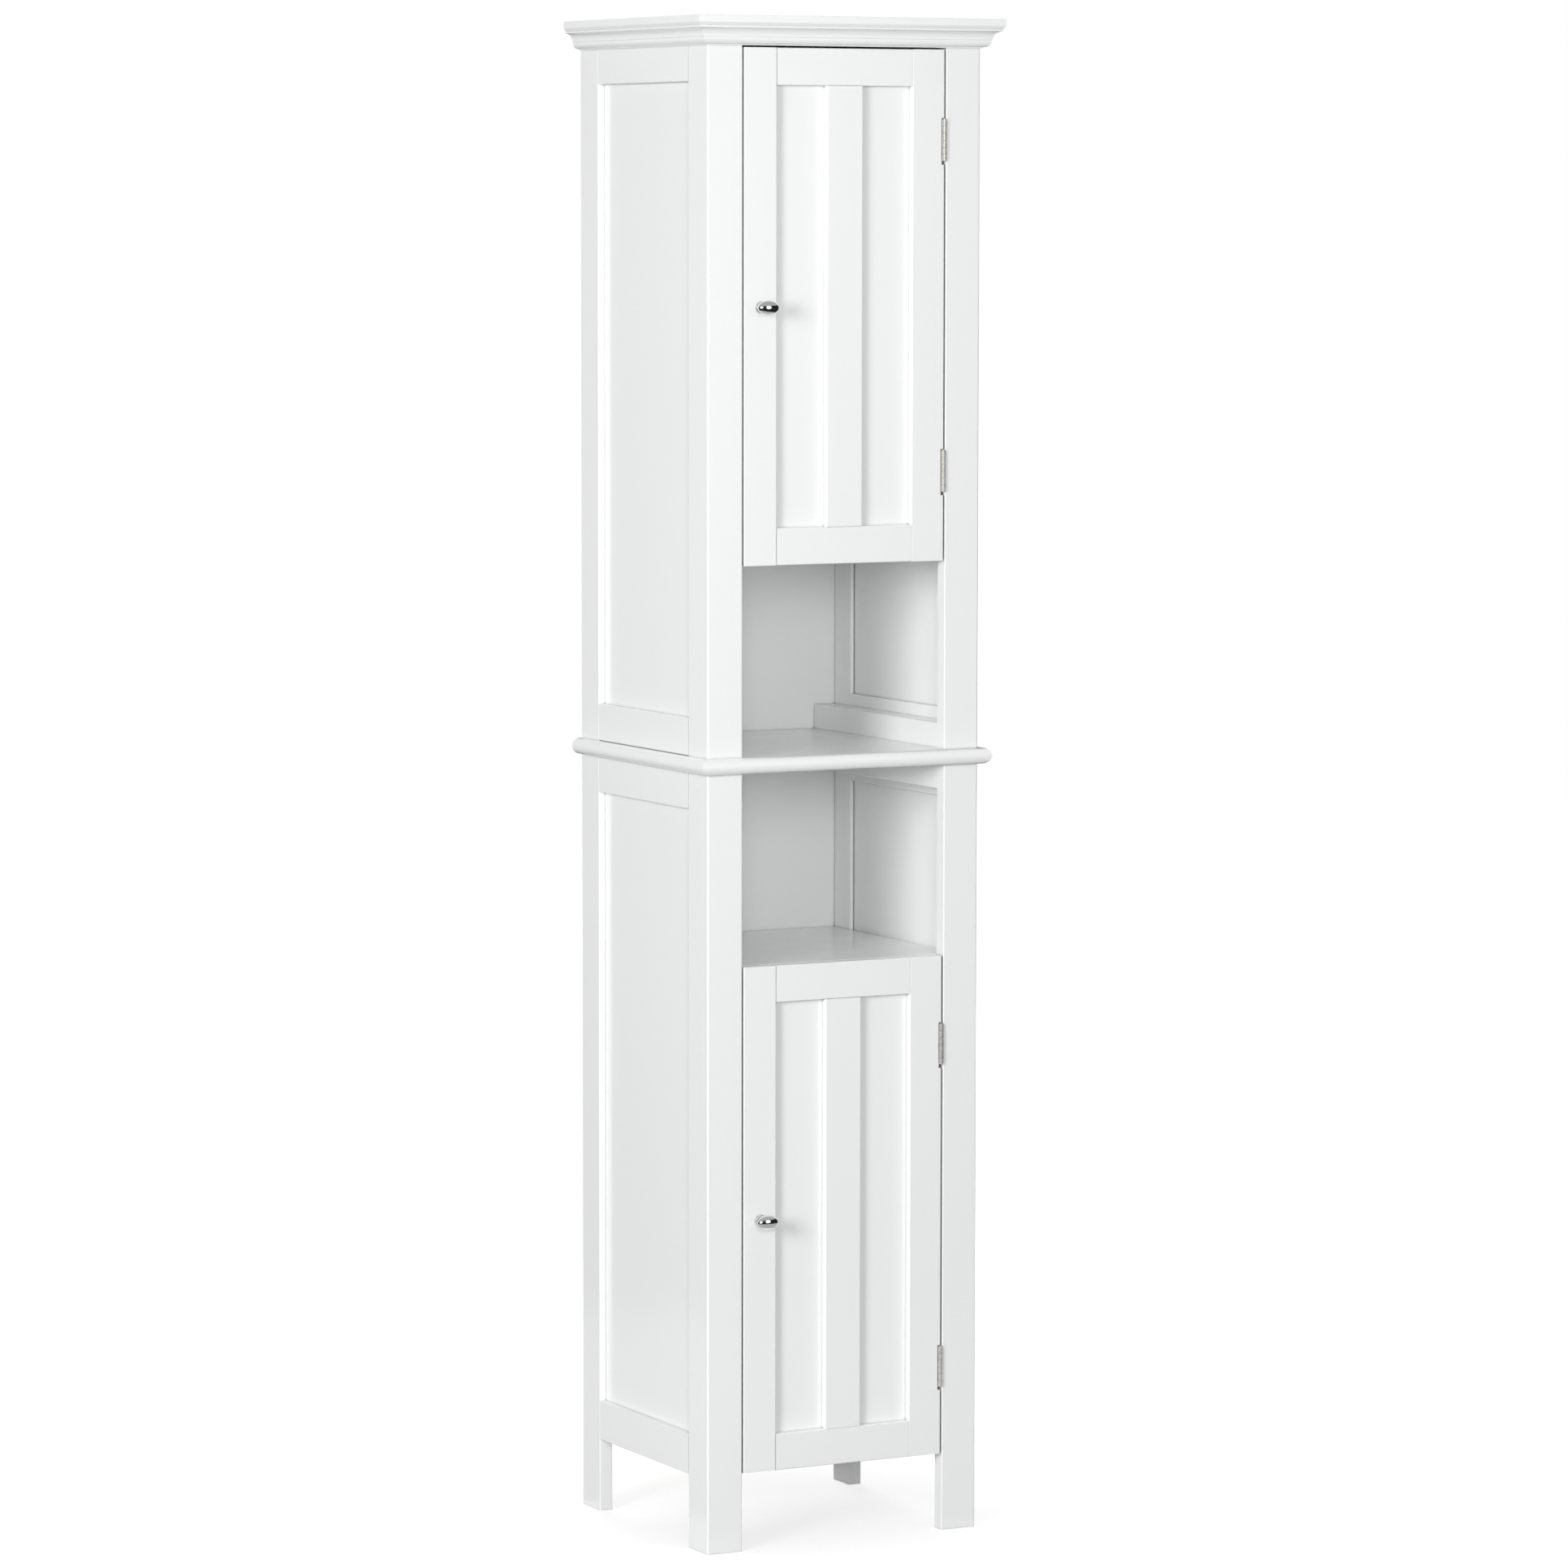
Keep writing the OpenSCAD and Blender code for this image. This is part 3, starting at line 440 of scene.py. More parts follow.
def finishes():
    """The cabinet's materials, made once."""
    paint = bpy.context.scene.cabinet_paint
    wanted = {
        "paint_upright": lambda n: painted(n, paint.colour, "z", paint),
        "paint_across": lambda n: painted(n, paint.colour, "x", paint),
        "paint_deep": lambda n: painted(n, paint.colour, "y", paint),
        "paint_panel": lambda n: painted(n, paint.colour, None, paint),
        "paint_board": lambda n: painted(n, paint.board_colour, None, paint),
        "back_board": lambda n: back_board(n, paint),
        "polished_chrome": lambda n: plated(n, (0.90, 0.905, 0.91), 0.03, 0.07, (160, 160, 160), 0.001 * MM),
        "dull_nickel": lambda n: plated(n, (0.87, 0.85, 0.81), 0.24, 0.34, (900, 900, 240), 0.002 * MM, 0.75),
        "cast_zinc": lambda n: plated(n, (0.66, 0.67, 0.68), 0.34, 0.52, (1100, 1100, 1100), 0.02 * MM),
        "catch_plastic": moulded_plastic,
    }
    made = {}
    for name, make in wanted.items():
        made[name] = bpy.data.materials.get(name) or make(name)
    return made


# Meshes

# Nearer vertices are one, finer turns are flat, and turns between the last two are eased edges
MERGE = 0.002 * MM
FLAT = math.radians(0.5)
EASED_FROM, EASED_TO = math.radians(30), math.radians(60)
# The largest turn, in degrees, that is shaded smoothly on the frame's pieces, mouldings and turned pieces
SMOOTH_FRAME, SMOOTH_MOULDING, SMOOTH_TURNED = 60, 40, 35
# A smaller radius is a point on the axis
ON_AXIS = 1e-7


def new_object(name, mesh, material=None):
    """An object at the origin that holds the mesh."""
    piece = bpy.data.objects.new(name, mesh)
    bpy.context.scene.collection.objects.link(piece)
    if material:
        mesh.materials.clear()
        mesh.materials.append(material)
    return piece


def mesh_of(name, bm):
    """A mesh made from the BMesh, which is freed."""
    mesh = bpy.data.meshes.new(name)
    bm.to_mesh(mesh)
    bm.free()
    return mesh


def smooth_by_angle(bm, degrees):
    """Smooth faces, with the edges that turn more than that kept sharp."""
    limit = math.radians(degrees)
    for face in bm.faces:
        face.smooth = True
    for edge in bm.edges:
        edge.smooth = len(edge.link_faces) == 2 and edge.calc_face_angle(0) < limit


def finished(piece):
    """The piece's evaluated mesh as a plain mesh, with no modifier left."""
    bpy.context.view_layer.update()
    graph = bpy.context.evaluated_depsgraph_get()
    mesh = bpy.data.meshes.new_from_object(piece.evaluated_get(graph), preserve_all_data_layers=True,
                                           depsgraph=graph)
    piece.modifiers.clear()
    old = piece.data
    piece.data = mesh
    mesh.name = piece.name
    bpy.data.meshes.remove(old)
    used = next((m for m in mesh.materials if m), None)
    if used:
        mesh.materials.clear()
        mesh.materials.append(used)
        mesh.polygons.foreach_set("material_index", [0] * len(mesh.polygons))
    return piece


def flat_faces_kept(piece):
    """Weights the normals by face area, so that the curve at a flat face's edge doesn't tilt its shading."""
    weighted = piece.modifiers.new("Shading", "WEIGHTED_NORMAL")
    weighted.keep_sharp = True
    weighted.weight = 100
    return finished(piece)


def dress(piece, body, slot, *nodes):
    """Rides the piece on its body and hides the CAD nodes that it stands for. The slot is not used."""
    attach(piece, body)
    if nodes:
        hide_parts(*nodes)
    return piece


def softened(node, material, arris):
    """A copy of a CAD node whose eased edges are rounded and shaded smoothly. Square edges stay square."""
    bm = bmesh.new()
    bm.from_mesh(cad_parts[node].data)
    bmesh.ops.remove_doubles(bm, verts=bm.verts, dist=MERGE)
    bmesh.ops.dissolve_limit(bm, angle_limit=FLAT, verts=bm.verts, edges=bm.edges)
    smooth_by_angle(bm, SMOOTH_FRAME)
    weights = bm.edges.layers.float.new("bevel_weight_edge")
    for edge in bm.edges:
        eased = EASED_FROM < edge.calc_face_angle(0) < EASED_TO
        edge[weights] = 1.0 if eased else 0.0
    piece = new_object("finished_" + node, mesh_of(node, bm), material)
    bevel = piece.modifiers.new("Arris", "BEVEL")
    bevel.limit_method = "WEIGHT"
    bevel.width = arris
    bevel.segments = 2
    bevel.use_clamp_overlap = True
    return flat_faces_kept(piece)


# Profiles, as points (out, up)

# A corner that turns more than this is softened, over no more than this share of the lengths beside it
CORNER = math.radians(25)
CORNER_SHARE = 0.45
# The top board's upper edge: its radius and steps, and how far the profile runs on along the flat faces
EASE, EASE_STEPS = 0.8 * MM, 6
EDGE_LAP = 2 * MM


def arc(centre, radius, start, end, steps):
    """Points along an arc, angles in degrees."""
    turns = [math.radians(start + (end - start) * i / steps) for i in range(steps + 1)]
    return [Vector((centre[0] + radius * math.cos(t), centre[1] + radius * math.sin(t))) for t in turns]


def softened_corners(points, radius, closed):
    """The outline with each real corner replaced by a small arc of three segments."""
    made = []
    count = len(points)
    for i, here in enumerate(points):
        before, after = points[i - 1], points[(i + 1) % count]
        at_end = not closed and i in (0, count - 1)
        arriving, leaving = (here - before), (after - here)
        turn = 0.0 if at_end or not arriving.length or not leaving.length else arriving.angle(leaving)
        if turn < CORNER:
            made.append(here)
            continue
        reach = min(radius, arriving.length * CORNER_SHARE, leaving.length * CORNER_SHARE)
        first = here - arriving.normalized() * reach
        last = here + leaving.normalized() * reach
        for share in (0.0, 1 / 3, 2 / 3, 1.0):
            made.append((1 - share) ** 2 * first + 2 * share * (1 - share) * here + share ** 2 * last)
    return made


def crown_profile(settings):
    """Closed section of the crown moulding: fillet, bead, quirk, cove and top fillet."""
    top = CROWN[1].z - CROWN[0].z
    out = FRONT - CROWN[0].y
    cove_x = out - settings.cove
    cove_z = top - settings.fillet - settings.cove
    bead_x = cove_x - settings.quirk
    bead_z = settings.foot_height + settings.bead
    quirk_z = max(bead_z, cove_z - settings.quirk)
    points = [Vector((0, 0)), Vector((settings.foot, 0)), Vector((settings.foot, settings.foot_height))]
    points += arc((bead_x - settings.bead, bead_z), settings.bead, -90, 0, settings.steps)
    points += [Vector((bead_x, quirk_z)), Vector((cove_x, quirk_z))]
    points += arc((out, cove_z), settings.cove, 180, 90, settings.steps)
    points += [Vector((out, top)), Vector((0, top))]
    return softened_corners(points, settings.softness, closed=True)


def bullnose_profile(settings):
    """Open section of the mid board's edge, a half circle from the bottom face to the top face."""
    radius = (MID_BOARD[1].z - MID_BOARD[0].z) / 2
    out = FRONT - MID_BOARD[0].y
    return arc((out - radius, radius), radius, -90, 90, settings.steps * 2)


def top_edge_profile(settings):
    """Open section of the top board's edge: a bevel below, an upright face and an eased top."""
    out = FRONT - TOP_BOARD[0].y
    top = TOP_BOARD[1].z - TOP_BOARD[0].z
    points = [
        Vector((out - settings.bevel_width - EDGE_LAP, 0)), Vector((out - settings.bevel_width, 0)),
        Vector((out, settings.bevel_height))]
    points += arc((out - EASE, top - EASE), EASE, 0, 90, EASE_STEPS)
    points.append(Vector((out - EASE - EDGE_LAP, top)))
    return softened_corners(points, settings.softness, closed=False)


def profile_mesh(name, points):
    """The section as loose points in order, out along X and up along Z."""
    mesh = bpy.data.meshes.new(name)
    mesh.from_pydata([(p.x, 0.0, p.y) for p in points], [], [])
    return mesh


# Geometry Nodes


def input_id(tree, name):
    """The identifier of a group's input."""
    return next(
        item.identifier for item in tree.interface.items_tree
        if item.item_type == "SOCKET" and item.in_out == "INPUT" and item.name == name)


def new_group(name, inputs):
    """An empty geometry group with its inputs, given as name, socket type and default."""
    tree = bpy.data.node_groups.new(name, "GeometryNodeTree")
    tree.is_modifier = True
    tree.interface.new_socket(name="Geometry", in_out="INPUT", socket_type="NodeSocketGeometry")
    for label, kind, default in inputs:
        made = tree.interface.new_socket(name=label, in_out="INPUT", socket_type=kind)
        if default is not None:
            made.default_value = default
    tree.interface.new_socket(name="Geometry", in_out="OUTPUT", socket_type="NodeSocketGeometry")
    return tree, add_node(tree, "NodeGroupInput"), add_node(tree, "NodeGroupOutput")


def end_group(tree, source, geometry, output):
    """Every tree ends by realizing its instances and setting the material."""
    realize = add_node(tree, "GeometryNodeRealizeInstances")
    tree.links.new(geometry, realize.inputs["Geometry"])
    painter = add_node(tree, "GeometryNodeSetMaterial")
    tree.links.new(realize.outputs["Geometry"], painter.inputs["Geometry"])
    tree.links.new(source.outputs["Material"], painter.inputs["Material"])
    tree.links.new(painter.outputs["Geometry"], output.inputs["Geometry"])


def mitred_sweep():
    """Sweeps a section round the left, front and right sides of a rectangle, with mitred corners.

    Stations 0 to 3 are the back left, front left, front right and back right corners. A run starts at the
    station First and passes Stations of them.
    """
    if "Mitred Sweep" in bpy.data.node_groups:
        return bpy.data.node_groups["Mitred Sweep"]
    lengths = [(n, "NodeSocketFloat", 0.0) for n in ("Left", "Right", "Front", "Back", "Height")]
    tree, source, output = new_group("Mitred Sweep", lengths + [
        ("First", "NodeSocketInt", 0), ("Stations", "NodeSocketInt", 4),
        ("Material", "NodeSocketMaterial", None)])
    given = source.outputs
    size = add_node(tree, "GeometryNodeAttributeDomainSize", component="MESH")
    tree.links.new(given["Geometry"], size.inputs["Geometry"])
    samples = size.outputs["Point Count"]
    grid = add_node(tree, "GeometryNodeMeshGrid")
    for name, value in (("Size X", 1.0), ("Size Y", 1.0), ("Vertices X", given["Stations"]),
                        ("Vertices Y", samples)):
        feed(tree, grid, name, value)
    place = add_node(tree, "GeometryNodeInputPosition")
    parts = add_node(tree, "ShaderNodeSeparateXYZ")
    tree.links.new(place.outputs["Position"], parts.inputs[0])

    def step(axis, count):
        """Which row or column of the grid a point is in."""
        share = maths(tree, "ADD", parts.outputs[axis], 0.5)
        return maths(tree, "ROUND", maths(tree, "MULTIPLY", share, maths(tree, "SUBTRACT", count, 1.0)))

    station = maths(tree, "ADD", step("X", given["Stations"]), given["First"])
    sample = add_node(tree, "GeometryNodeSampleIndex", data_type="FLOAT_VECTOR", domain="POINT")
    section = add_node(tree, "GeometryNodeInputPosition")
    feed(tree, sample, "Geometry", given["Geometry"])
    feed(tree, sample, "Value", section.outputs["Position"])
    feed(tree, sample, "Index", step("Y", samples))
    point = add_node(tree, "ShaderNodeSeparateXYZ")
    tree.links.new(socket(sample.outputs, "Value"), point.inputs[0])
    out = point.outputs["X"]

    on_right = maths(tree, "GREATER_THAN", station, 1.5)
    from_middle = maths(tree, "ABSOLUTE", maths(tree, "SUBTRACT", station, 1.5))
    in_front = maths(tree, "LESS_THAN", from_middle, 1.0)
    at_back = maths(tree, "SUBTRACT", 1.0, in_front)
    on_left = maths(tree, "SUBTRACT", 1.0, on_right)
    left = maths(tree, "MULTIPLY", on_left, maths(tree, "SUBTRACT", given["Left"], out))
    right = maths(tree, "MULTIPLY", on_right, maths(tree, "ADD", given["Right"], out))
    front = maths(tree, "MULTIPLY", in_front, maths(tree, "SUBTRACT", given["Front"], out))
    back = maths(tree, "MULTIPLY", at_back, given["Back"])
    combined = add_node(tree, "ShaderNodeCombineXYZ")
    tree.links.new(maths(tree, "ADD", left, right), combined.inputs["X"])
    tree.links.new(maths(tree, "ADD", front, back), combined.inputs["Y"])
    tree.links.new(maths(tree, "ADD", point.outputs["Z"], given["Height"]), combined.inputs["Z"])
    mover = add_node(tree, "GeometryNodeSetPosition")
    feed(tree, mover, "Geometry", socket(grid.outputs, "Mesh"))
    feed(tree, mover, "Position", combined.outputs[0])
    end_group(tree, source, mover.outputs["Geometry"], output)
    return tree


def placed_heads():
    """Puts a head on each point, its +Z along the point's facing vector, with a random turn about it."""
    if "Placed Heads" in bpy.data.node_groups:
        return bpy.data.node_groups["Placed Heads"]
    tree, source, output = new_group("Placed Heads", [
        ("Head", "NodeSocketObject", None), ("Size", "NodeSocketFloat", 1.0), ("Seed", "NodeSocketInt", 0),
        ("Material", "NodeSocketMaterial", None)])
    given = source.outputs
    head = add_node(tree, "GeometryNodeObjectInfo", transform_space="ORIGINAL")
    tree.links.new(given["Head"], head.inputs["Object"])
    facing = add_node(tree, "GeometryNodeInputNamedAttribute", data_type="FLOAT_VECTOR")
    facing.inputs["Name"].default_value = "facing"
    align = add_node(tree, "FunctionNodeAlignRotationToVector", axis="Z")
    feed(tree, align, "Vector", socket(facing.outputs, "Attribute"))
    chance = add_node(tree, "FunctionNodeRandomValue", data_type="FLOAT")
    feed(tree, chance, "Max", math.tau)
    feed(tree, chance, "Seed", given["Seed"])
    spin = add_node(tree, "FunctionNodeAxisAngleToRotation")
    feed(tree, spin, "Axis", (0.0, 0.0, 1.0))
    feed(tree, spin, "Angle", socket(chance.outputs, "Value"))
    turned = add_node(tree, "FunctionNodeRotateRotation", rotation_space="LOCAL")
    feed(tree, turned, "Rotation", align.outputs["Rotation"])
    feed(tree, turned, "Rotate By", spin.outputs["Rotation"])
    placer = add_node(tree, "GeometryNodeInstanceOnPoints")
    feed(tree, placer, "Points", given["Geometry"])
    feed(tree, placer, "Instance", head.outputs["Geometry"])
    feed(tree, placer, "Rotation", turned.outputs["Rotation"])
    feed(tree, placer, "Scale", given["Size"])
    end_group(tree, source, placer.outputs["Instances"], output)
    return tree


def grown(name, mesh, tree, inputs):
    """A plain mesh object made by running the tree on the mesh. Inputs are set by identifier."""
    piece = new_object(name, mesh)
    modifier = piece.modifiers.new(tree.name, "NODES")
    modifier.node_group = tree
    for label, value in inputs.items():
        modifier[input_id(tree, label)] = value
    return finished(piece)


def swept(name, points, height, material, first=0, stations=4):
    """A section swept round the cabinet's sides, from the station first on, still open."""
    return grown(name, profile_mesh(name, points), mitred_sweep(), {
        "Left": LEFT, "Right": RIGHT, "Front": FRONT, "Back": BACK, "Height": height,
        "First": first, "Stations": stations, "Material": material})


def close_board(piece):
    """Closes a board whose edge was swept: top, bottom and back faces between the ends of the section."""
    bm = bmesh.new()
    bm.from_mesh(piece.data)
    heights = [v.co.z for v in bm.verts]
    near = 0.001 * MM
    for level in (min(heights), max(heights)):
        rim = [v for v in bm.verts if abs(v.co.z - level) < near and v.is_boundary]
        corners = sorted(rim, key=lambda v: (v.co.x > 0, v.co.y if v.co.x > 0 else -v.co.y))
        bm.faces.new(corners)
    ends = [v for v in bm.verts if abs(v.co.y - BACK) < near]
    left = sorted((v for v in ends if v.co.x < 0), key=lambda v: v.co.z)
    right = sorted((v for v in ends if v.co.x > 0), key=lambda v: -v.co.z)
    bm.faces.new(left + right)
    bmesh.ops.recalc_face_normals(bm, faces=bm.faces)
    smooth_by_angle(bm, SMOOTH_MOULDING)
    bm.to_mesh(piece.data)
    bm.free()
    return flat_faces_kept(piece)


def close_length(piece):
    """Joins the seam of a swept closed section and caps its ends."""
    bm = bmesh.new()
    bm.from_mesh(piece.data)
    bmesh.ops.remove_doubles(bm, verts=bm.verts, dist=MERGE)
    bmesh.ops.holes_fill(bm, edges=[e for e in bm.edges if e.is_boundary], sides=0)
    bmesh.ops.recalc_face_normals(bm, faces=bm.faces)
    smooth_by_angle(bm, SMOOTH_MOULDING)
    bm.to_mesh(piece.data)
    bm.free()
    return piece


def joined(name, pieces):
    """One object that holds the meshes of several."""
    bm = bmesh.new()
    for piece in pieces:
        bm.from_mesh(piece.data)
    whole = new_object(name, mesh_of(name, bm), pieces[0].data.materials[0])
    for piece in pieces:
        bpy.data.objects.remove(piece)
    return whole


def united(name, first, second, operation="UNION"):
    """The union or difference of two closed meshes."""
    modifier = first.modifiers.new("Join", "BOOLEAN")
    modifier.operation = operation
    modifier.solver = "EXACT"
    modifier.object = second
    finished(first)
    first.name = name
    bpy.data.objects.remove(second)
    bm = bmesh.new()
    bm.from_mesh(first.data)
    bmesh.ops.remove_doubles(bm, verts=bm.verts, dist=0.001 * MM)
    smooth_by_angle(bm, SMOOTH_TURNED)
    bm.to_mesh(first.data)
    bm.free()
    return first


def ring_of(bm, radius, height, segments):
    """A ring of new vertices about +Z."""
    turns = [math.tau * i / segments for i in range(segments)]
    return [bm.verts.new((radius * math.cos(t), radius * math.sin(t), height)) for t in turns]


def turned_mesh(name, outline, segments):
    """A closed solid turned about +Z from points (radius, height) that start and end on the axis."""
    bm = bmesh.new()
    rings = []
    for point in outline:
        if point[0] < ON_AXIS:
            rings.append([bm.verts.new((0, 0, point[1]))])
            continue
        rings.append(ring_of(bm, *point, segments))
    for low, high in zip(rings, rings[1:]):
        for i in range(segments):
            j = (i + 1) % segments
            corners = [low[i % len(low)], low[j % len(low)], high[j % len(high)], high[i % len(high)]]
            bm.faces.new(list(dict.fromkeys(corners)))
    bmesh.ops.recalc_face_normals(bm, faces=bm.faces)
    smooth_by_angle(bm, SMOOTH_TURNED)
    return mesh_of(name, bm)


# Small heads, made once at the origin and put in place by a tree

# Outlines of the heads, as points (radius, height) for a head of radius 1
COUNTERSUNK = [(0, -0.45), (0.55, -0.45), (0.97, -0.05), (1.0, -0.03), (0.98, 0), (0, 0)]
PAN = [(0, -0.05), (1.0, -0.05), (1.0, 0.16), (0.94, 0.34), (0.8, 0.47), (0.55, 0.55), (0, 0.58)]
TACK = [(0, -0.05), (1.0, -0.05), (0.98, 0.12), (0.8, 0.24), (0.45, 0.31), (0, 0.33)]
HEAD_SEGMENTS = 28
TACK_SEGMENTS = 16
# Length, width and depth of the cross slot, and how wide its bottom is, as shares
CROSS_SLOT = (1.15, 0.26, 0.5)
SLOT_TAPER = 0.6
# How far the cutter stands out above the head
CUTTER_RISE = 0.3 * MM
# A hair's breadth, which keeps faces apart that would lie in one plane
HAIR = 0.05 * MM


def cross_cutter(length, width, depth, top):
    """A closed cross that cuts a cross slot, tapering towards the bottom."""
    half, thin = length / 2, width / 2
    arm = [(half, -thin), (half, thin), (thin, thin)]
    outline = [Matrix.Rotation(turn * math.pi / 2, 2) @ Vector(point) for turn in range(4) for point in arm]
    bm = bmesh.new()
    rings = []
    for share, z in ((SLOT_TAPER, top - depth), (1.0, top + CUTTER_RISE)):
        rings.append([bm.verts.new((point.x * share, point.y * share, z)) for point in outline])
    bm.faces.new(reversed(rings[0]))
    bm.faces.new(rings[1])
    count = len(outline)
    for i in range(count):
        bm.faces.new((rings[0][i], rings[0][(i + 1) % count], rings[1][(i + 1) % count], rings[1][i]))
    return new_object("cross_cutter", mesh_of("cross_cutter", bm))


def screw_head(name, outline, radius):
    """A screw head with a cross slot. Its outline is given for a radius of 1."""
    head = new_object(name, turned_mesh(name, [(r * radius, z * radius) for r, z in outline], HEAD_SEGMENTS))
    top = max(z for _, z in outline) * radius
    slot_length, slot_width, slot_depth = (share * radius for share in CROSS_SLOT)
    return united(name, head, cross_cutter(slot_length, slot_width, slot_depth, top), "DIFFERENCE")


def discard(*spares):
    """Heads that have been put in place are no longer needed at the origin."""
    for spare in spares:
        bpy.data.objects.remove(spare)


def put_heads(name, head, body, slot, material, places):
    """Heads at places, which are pairs of a point and the way it faces, as one piece on the body."""
    fixing = bpy.context.scene.cabinet_fixings
    mesh = bpy.data.meshes.new(name)
    mesh.from_pydata([tuple(point) for point, _ in places], [], [])
    facing = mesh.attributes.new("facing", "FLOAT_VECTOR", "POINT")
    for i, (_, way) in enumerate(places):
        facing.data[i].vector = way
    piece = grown(name, mesh, placed_heads(), {
        "Head": head, "Size": 1.0, "Seed": fixing.seed, "Material": material})
    return dress(piece, body, slot)


# Pole plates of the catches: room at their ends, depth and height, and the bevel of their edges
POLE_MARGIN = 0.2 * MM
POLE_SECTION = (1.1 * MM, 1.0 * MM)
POLE_BEVEL = 0.08 * MM
# Tacks: how far the first and last are from the panel's ends, and all from its long edges
TACK_END, TACK_EDGE = 12 * MM, 4 * MM
# Hinges, as the frame has them
HINGE_LENGTH = 46 * MM
DOOR_LEAF_HALF = 22.85 * MM
LEAF_THICKNESS = 0.9 * MM
SCREW_SETBACK = 10 * MM


def spaced(low, high, pitch):
    """Even positions from low to high, no further apart than the pitch."""
    count = max(1, math.ceil((high - low) / pitch))
    return [low + (high - low) * i / count for i in range(count + 1)]


def hinge_heights(unit):
    """Middles of a door's two hinges, from the box of its leaves."""
    low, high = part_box(f"{unit}_door_hinge_leaves")
    return low.z + DOOR_LEAF_HALF, high.z - DOOR_LEAF_HALF


class CabinetOperator:
    """What the cabinet's operators share"""

    bl_options = {"REGISTER", "UNDO"}


class CABINET_OT_side_frames(CabinetOperator, bpy.types.Operator):
    """Finishes the stiles, rails and panels of the four side frames"""

    bl_idname = "cabinet.side_frames"
    bl_label = "Side Frames"

    def execute(self, context):
        made = finishes()
        arris = context.scene.cabinet_paint.arris
        for unit in UNITS:
            for side in ("left", "right"):
                for part in FRAME_PARTS:
                    node = f"{unit}_{side}_{part}"
                    finish = made["paint_deep" if "rail" in part else "paint_upright"]
                    dress(softened(node, finish, arris), CARCASS, "painted_wood", node)
            node = f"{unit}_side_panels"
            dress(softened(node, made["paint_panel"], arris), CARCASS, "painted_wood", node)
        return {"FINISHED"}


class CABINET_OT_doors(CabinetOperator, bpy.types.Operator):
    """Finishes the stiles, rails and panels of both doors"""

    bl_idname = "cabinet.doors"
    bl_label = "Doors"

    def execute(self, context):
        made = finishes()
        arris = context.scene.cabinet_paint.arris
        for unit in UNITS:
            for part in DOOR_PARTS:
                node = f"{unit}_door_{part}"
                finish = made["paint_across" if "rail" in part else "paint_upright"]
                if part == "panels":
                    finish = made["paint_panel"]
                dress(softened(node, finish, arris), f"{unit}_door", "painted_wood", node)
        return {"FINISHED"}


class CABINET_OT_boards(CabinetOperator, bpy.types.Operator):
    """Finishes the floors, shelves, back panels, rails and cleats inside"""

    bl_idname = "cabinet.boards"
    bl_label = "Boards and Backs"

    def execute(self, context):
        made = finishes()
        arris = context.scene.cabinet_paint.arris
        wanted = (
            ("paint_board", "painted_board", (
                "base_panel", "lower_shelf", "niche_floor", "cupboard_floor", "upper_shelf", "wall_rail")),
            ("back_board", "painted_board", ("lower_back_panel", "upper_back_panel")),
            ("paint_across", "painted_wood", ("header_rail",)),
            ("paint_deep", "painted_wood", ("stacking_cleats",)))
        for finish, slot, nodes in wanted:
            for node in nodes:
                dress(softened(node, made[finish], arris), CARCASS, slot, node)
        return {"FINISHED"}


class CABINET_OT_crown(CabinetOperator, bpy.types.Operator):
    """Sweeps the crown moulding in three mitred lengths and lays the top board on it"""

    bl_idname = "cabinet.crown"
    bl_label = "Crown and Top Board"

    def execute(self, context):
        made = finishes()
        settings = context.scene.cabinet_crown
        section = crown_profile(settings)
        section.append(section[0])
        low = CROWN[0].z
        front = close_length(swept("crown_front", section, low, made["paint_across"], 1, 2))
        dress(front, CARCASS, "painted_wood", "crown_front_moulding")
        sides = [
            close_length(swept(f"crown_side_{i}", section, low, made["paint_deep"], i, 2)) for i in (0, 2)]
        dress(joined("crown_sides", sides), CARCASS, "painted_wood", "crown_side_mouldings")
        edge = top_edge_profile(settings)
        board = close_board(swept("top_board_finished", edge, TOP_BOARD[0].z, made["paint_across"]))
        dress(board, CARCASS, "painted_wood", "top_board")
        return {"FINISHED"}


class CABINET_OT_mid_board(CabinetOperator, bpy.types.Operator):
    """Sweeps the mid board's bullnose round three sides of the board"""

    bl_idname = "cabinet.mid_board"
    bl_label = "Mid Board"

    def execute(self, context):
        made = finishes()
        edge = bullnose_profile(context.scene.cabinet_crown)
        board = close_board(swept("mid_board_finished", edge, MID_BOARD[0].z, made["paint_across"]))
        dress(board, CARCASS, "painted_wood", "mid_board")
        return {"FINISHED"}


# The knobs: edge radius and steps of the round base, and the steps of the neck's waist
BASE_LIP, BASE_LIP_STEPS = 0.8 * MM, 6
WAIST_STEPS = 24


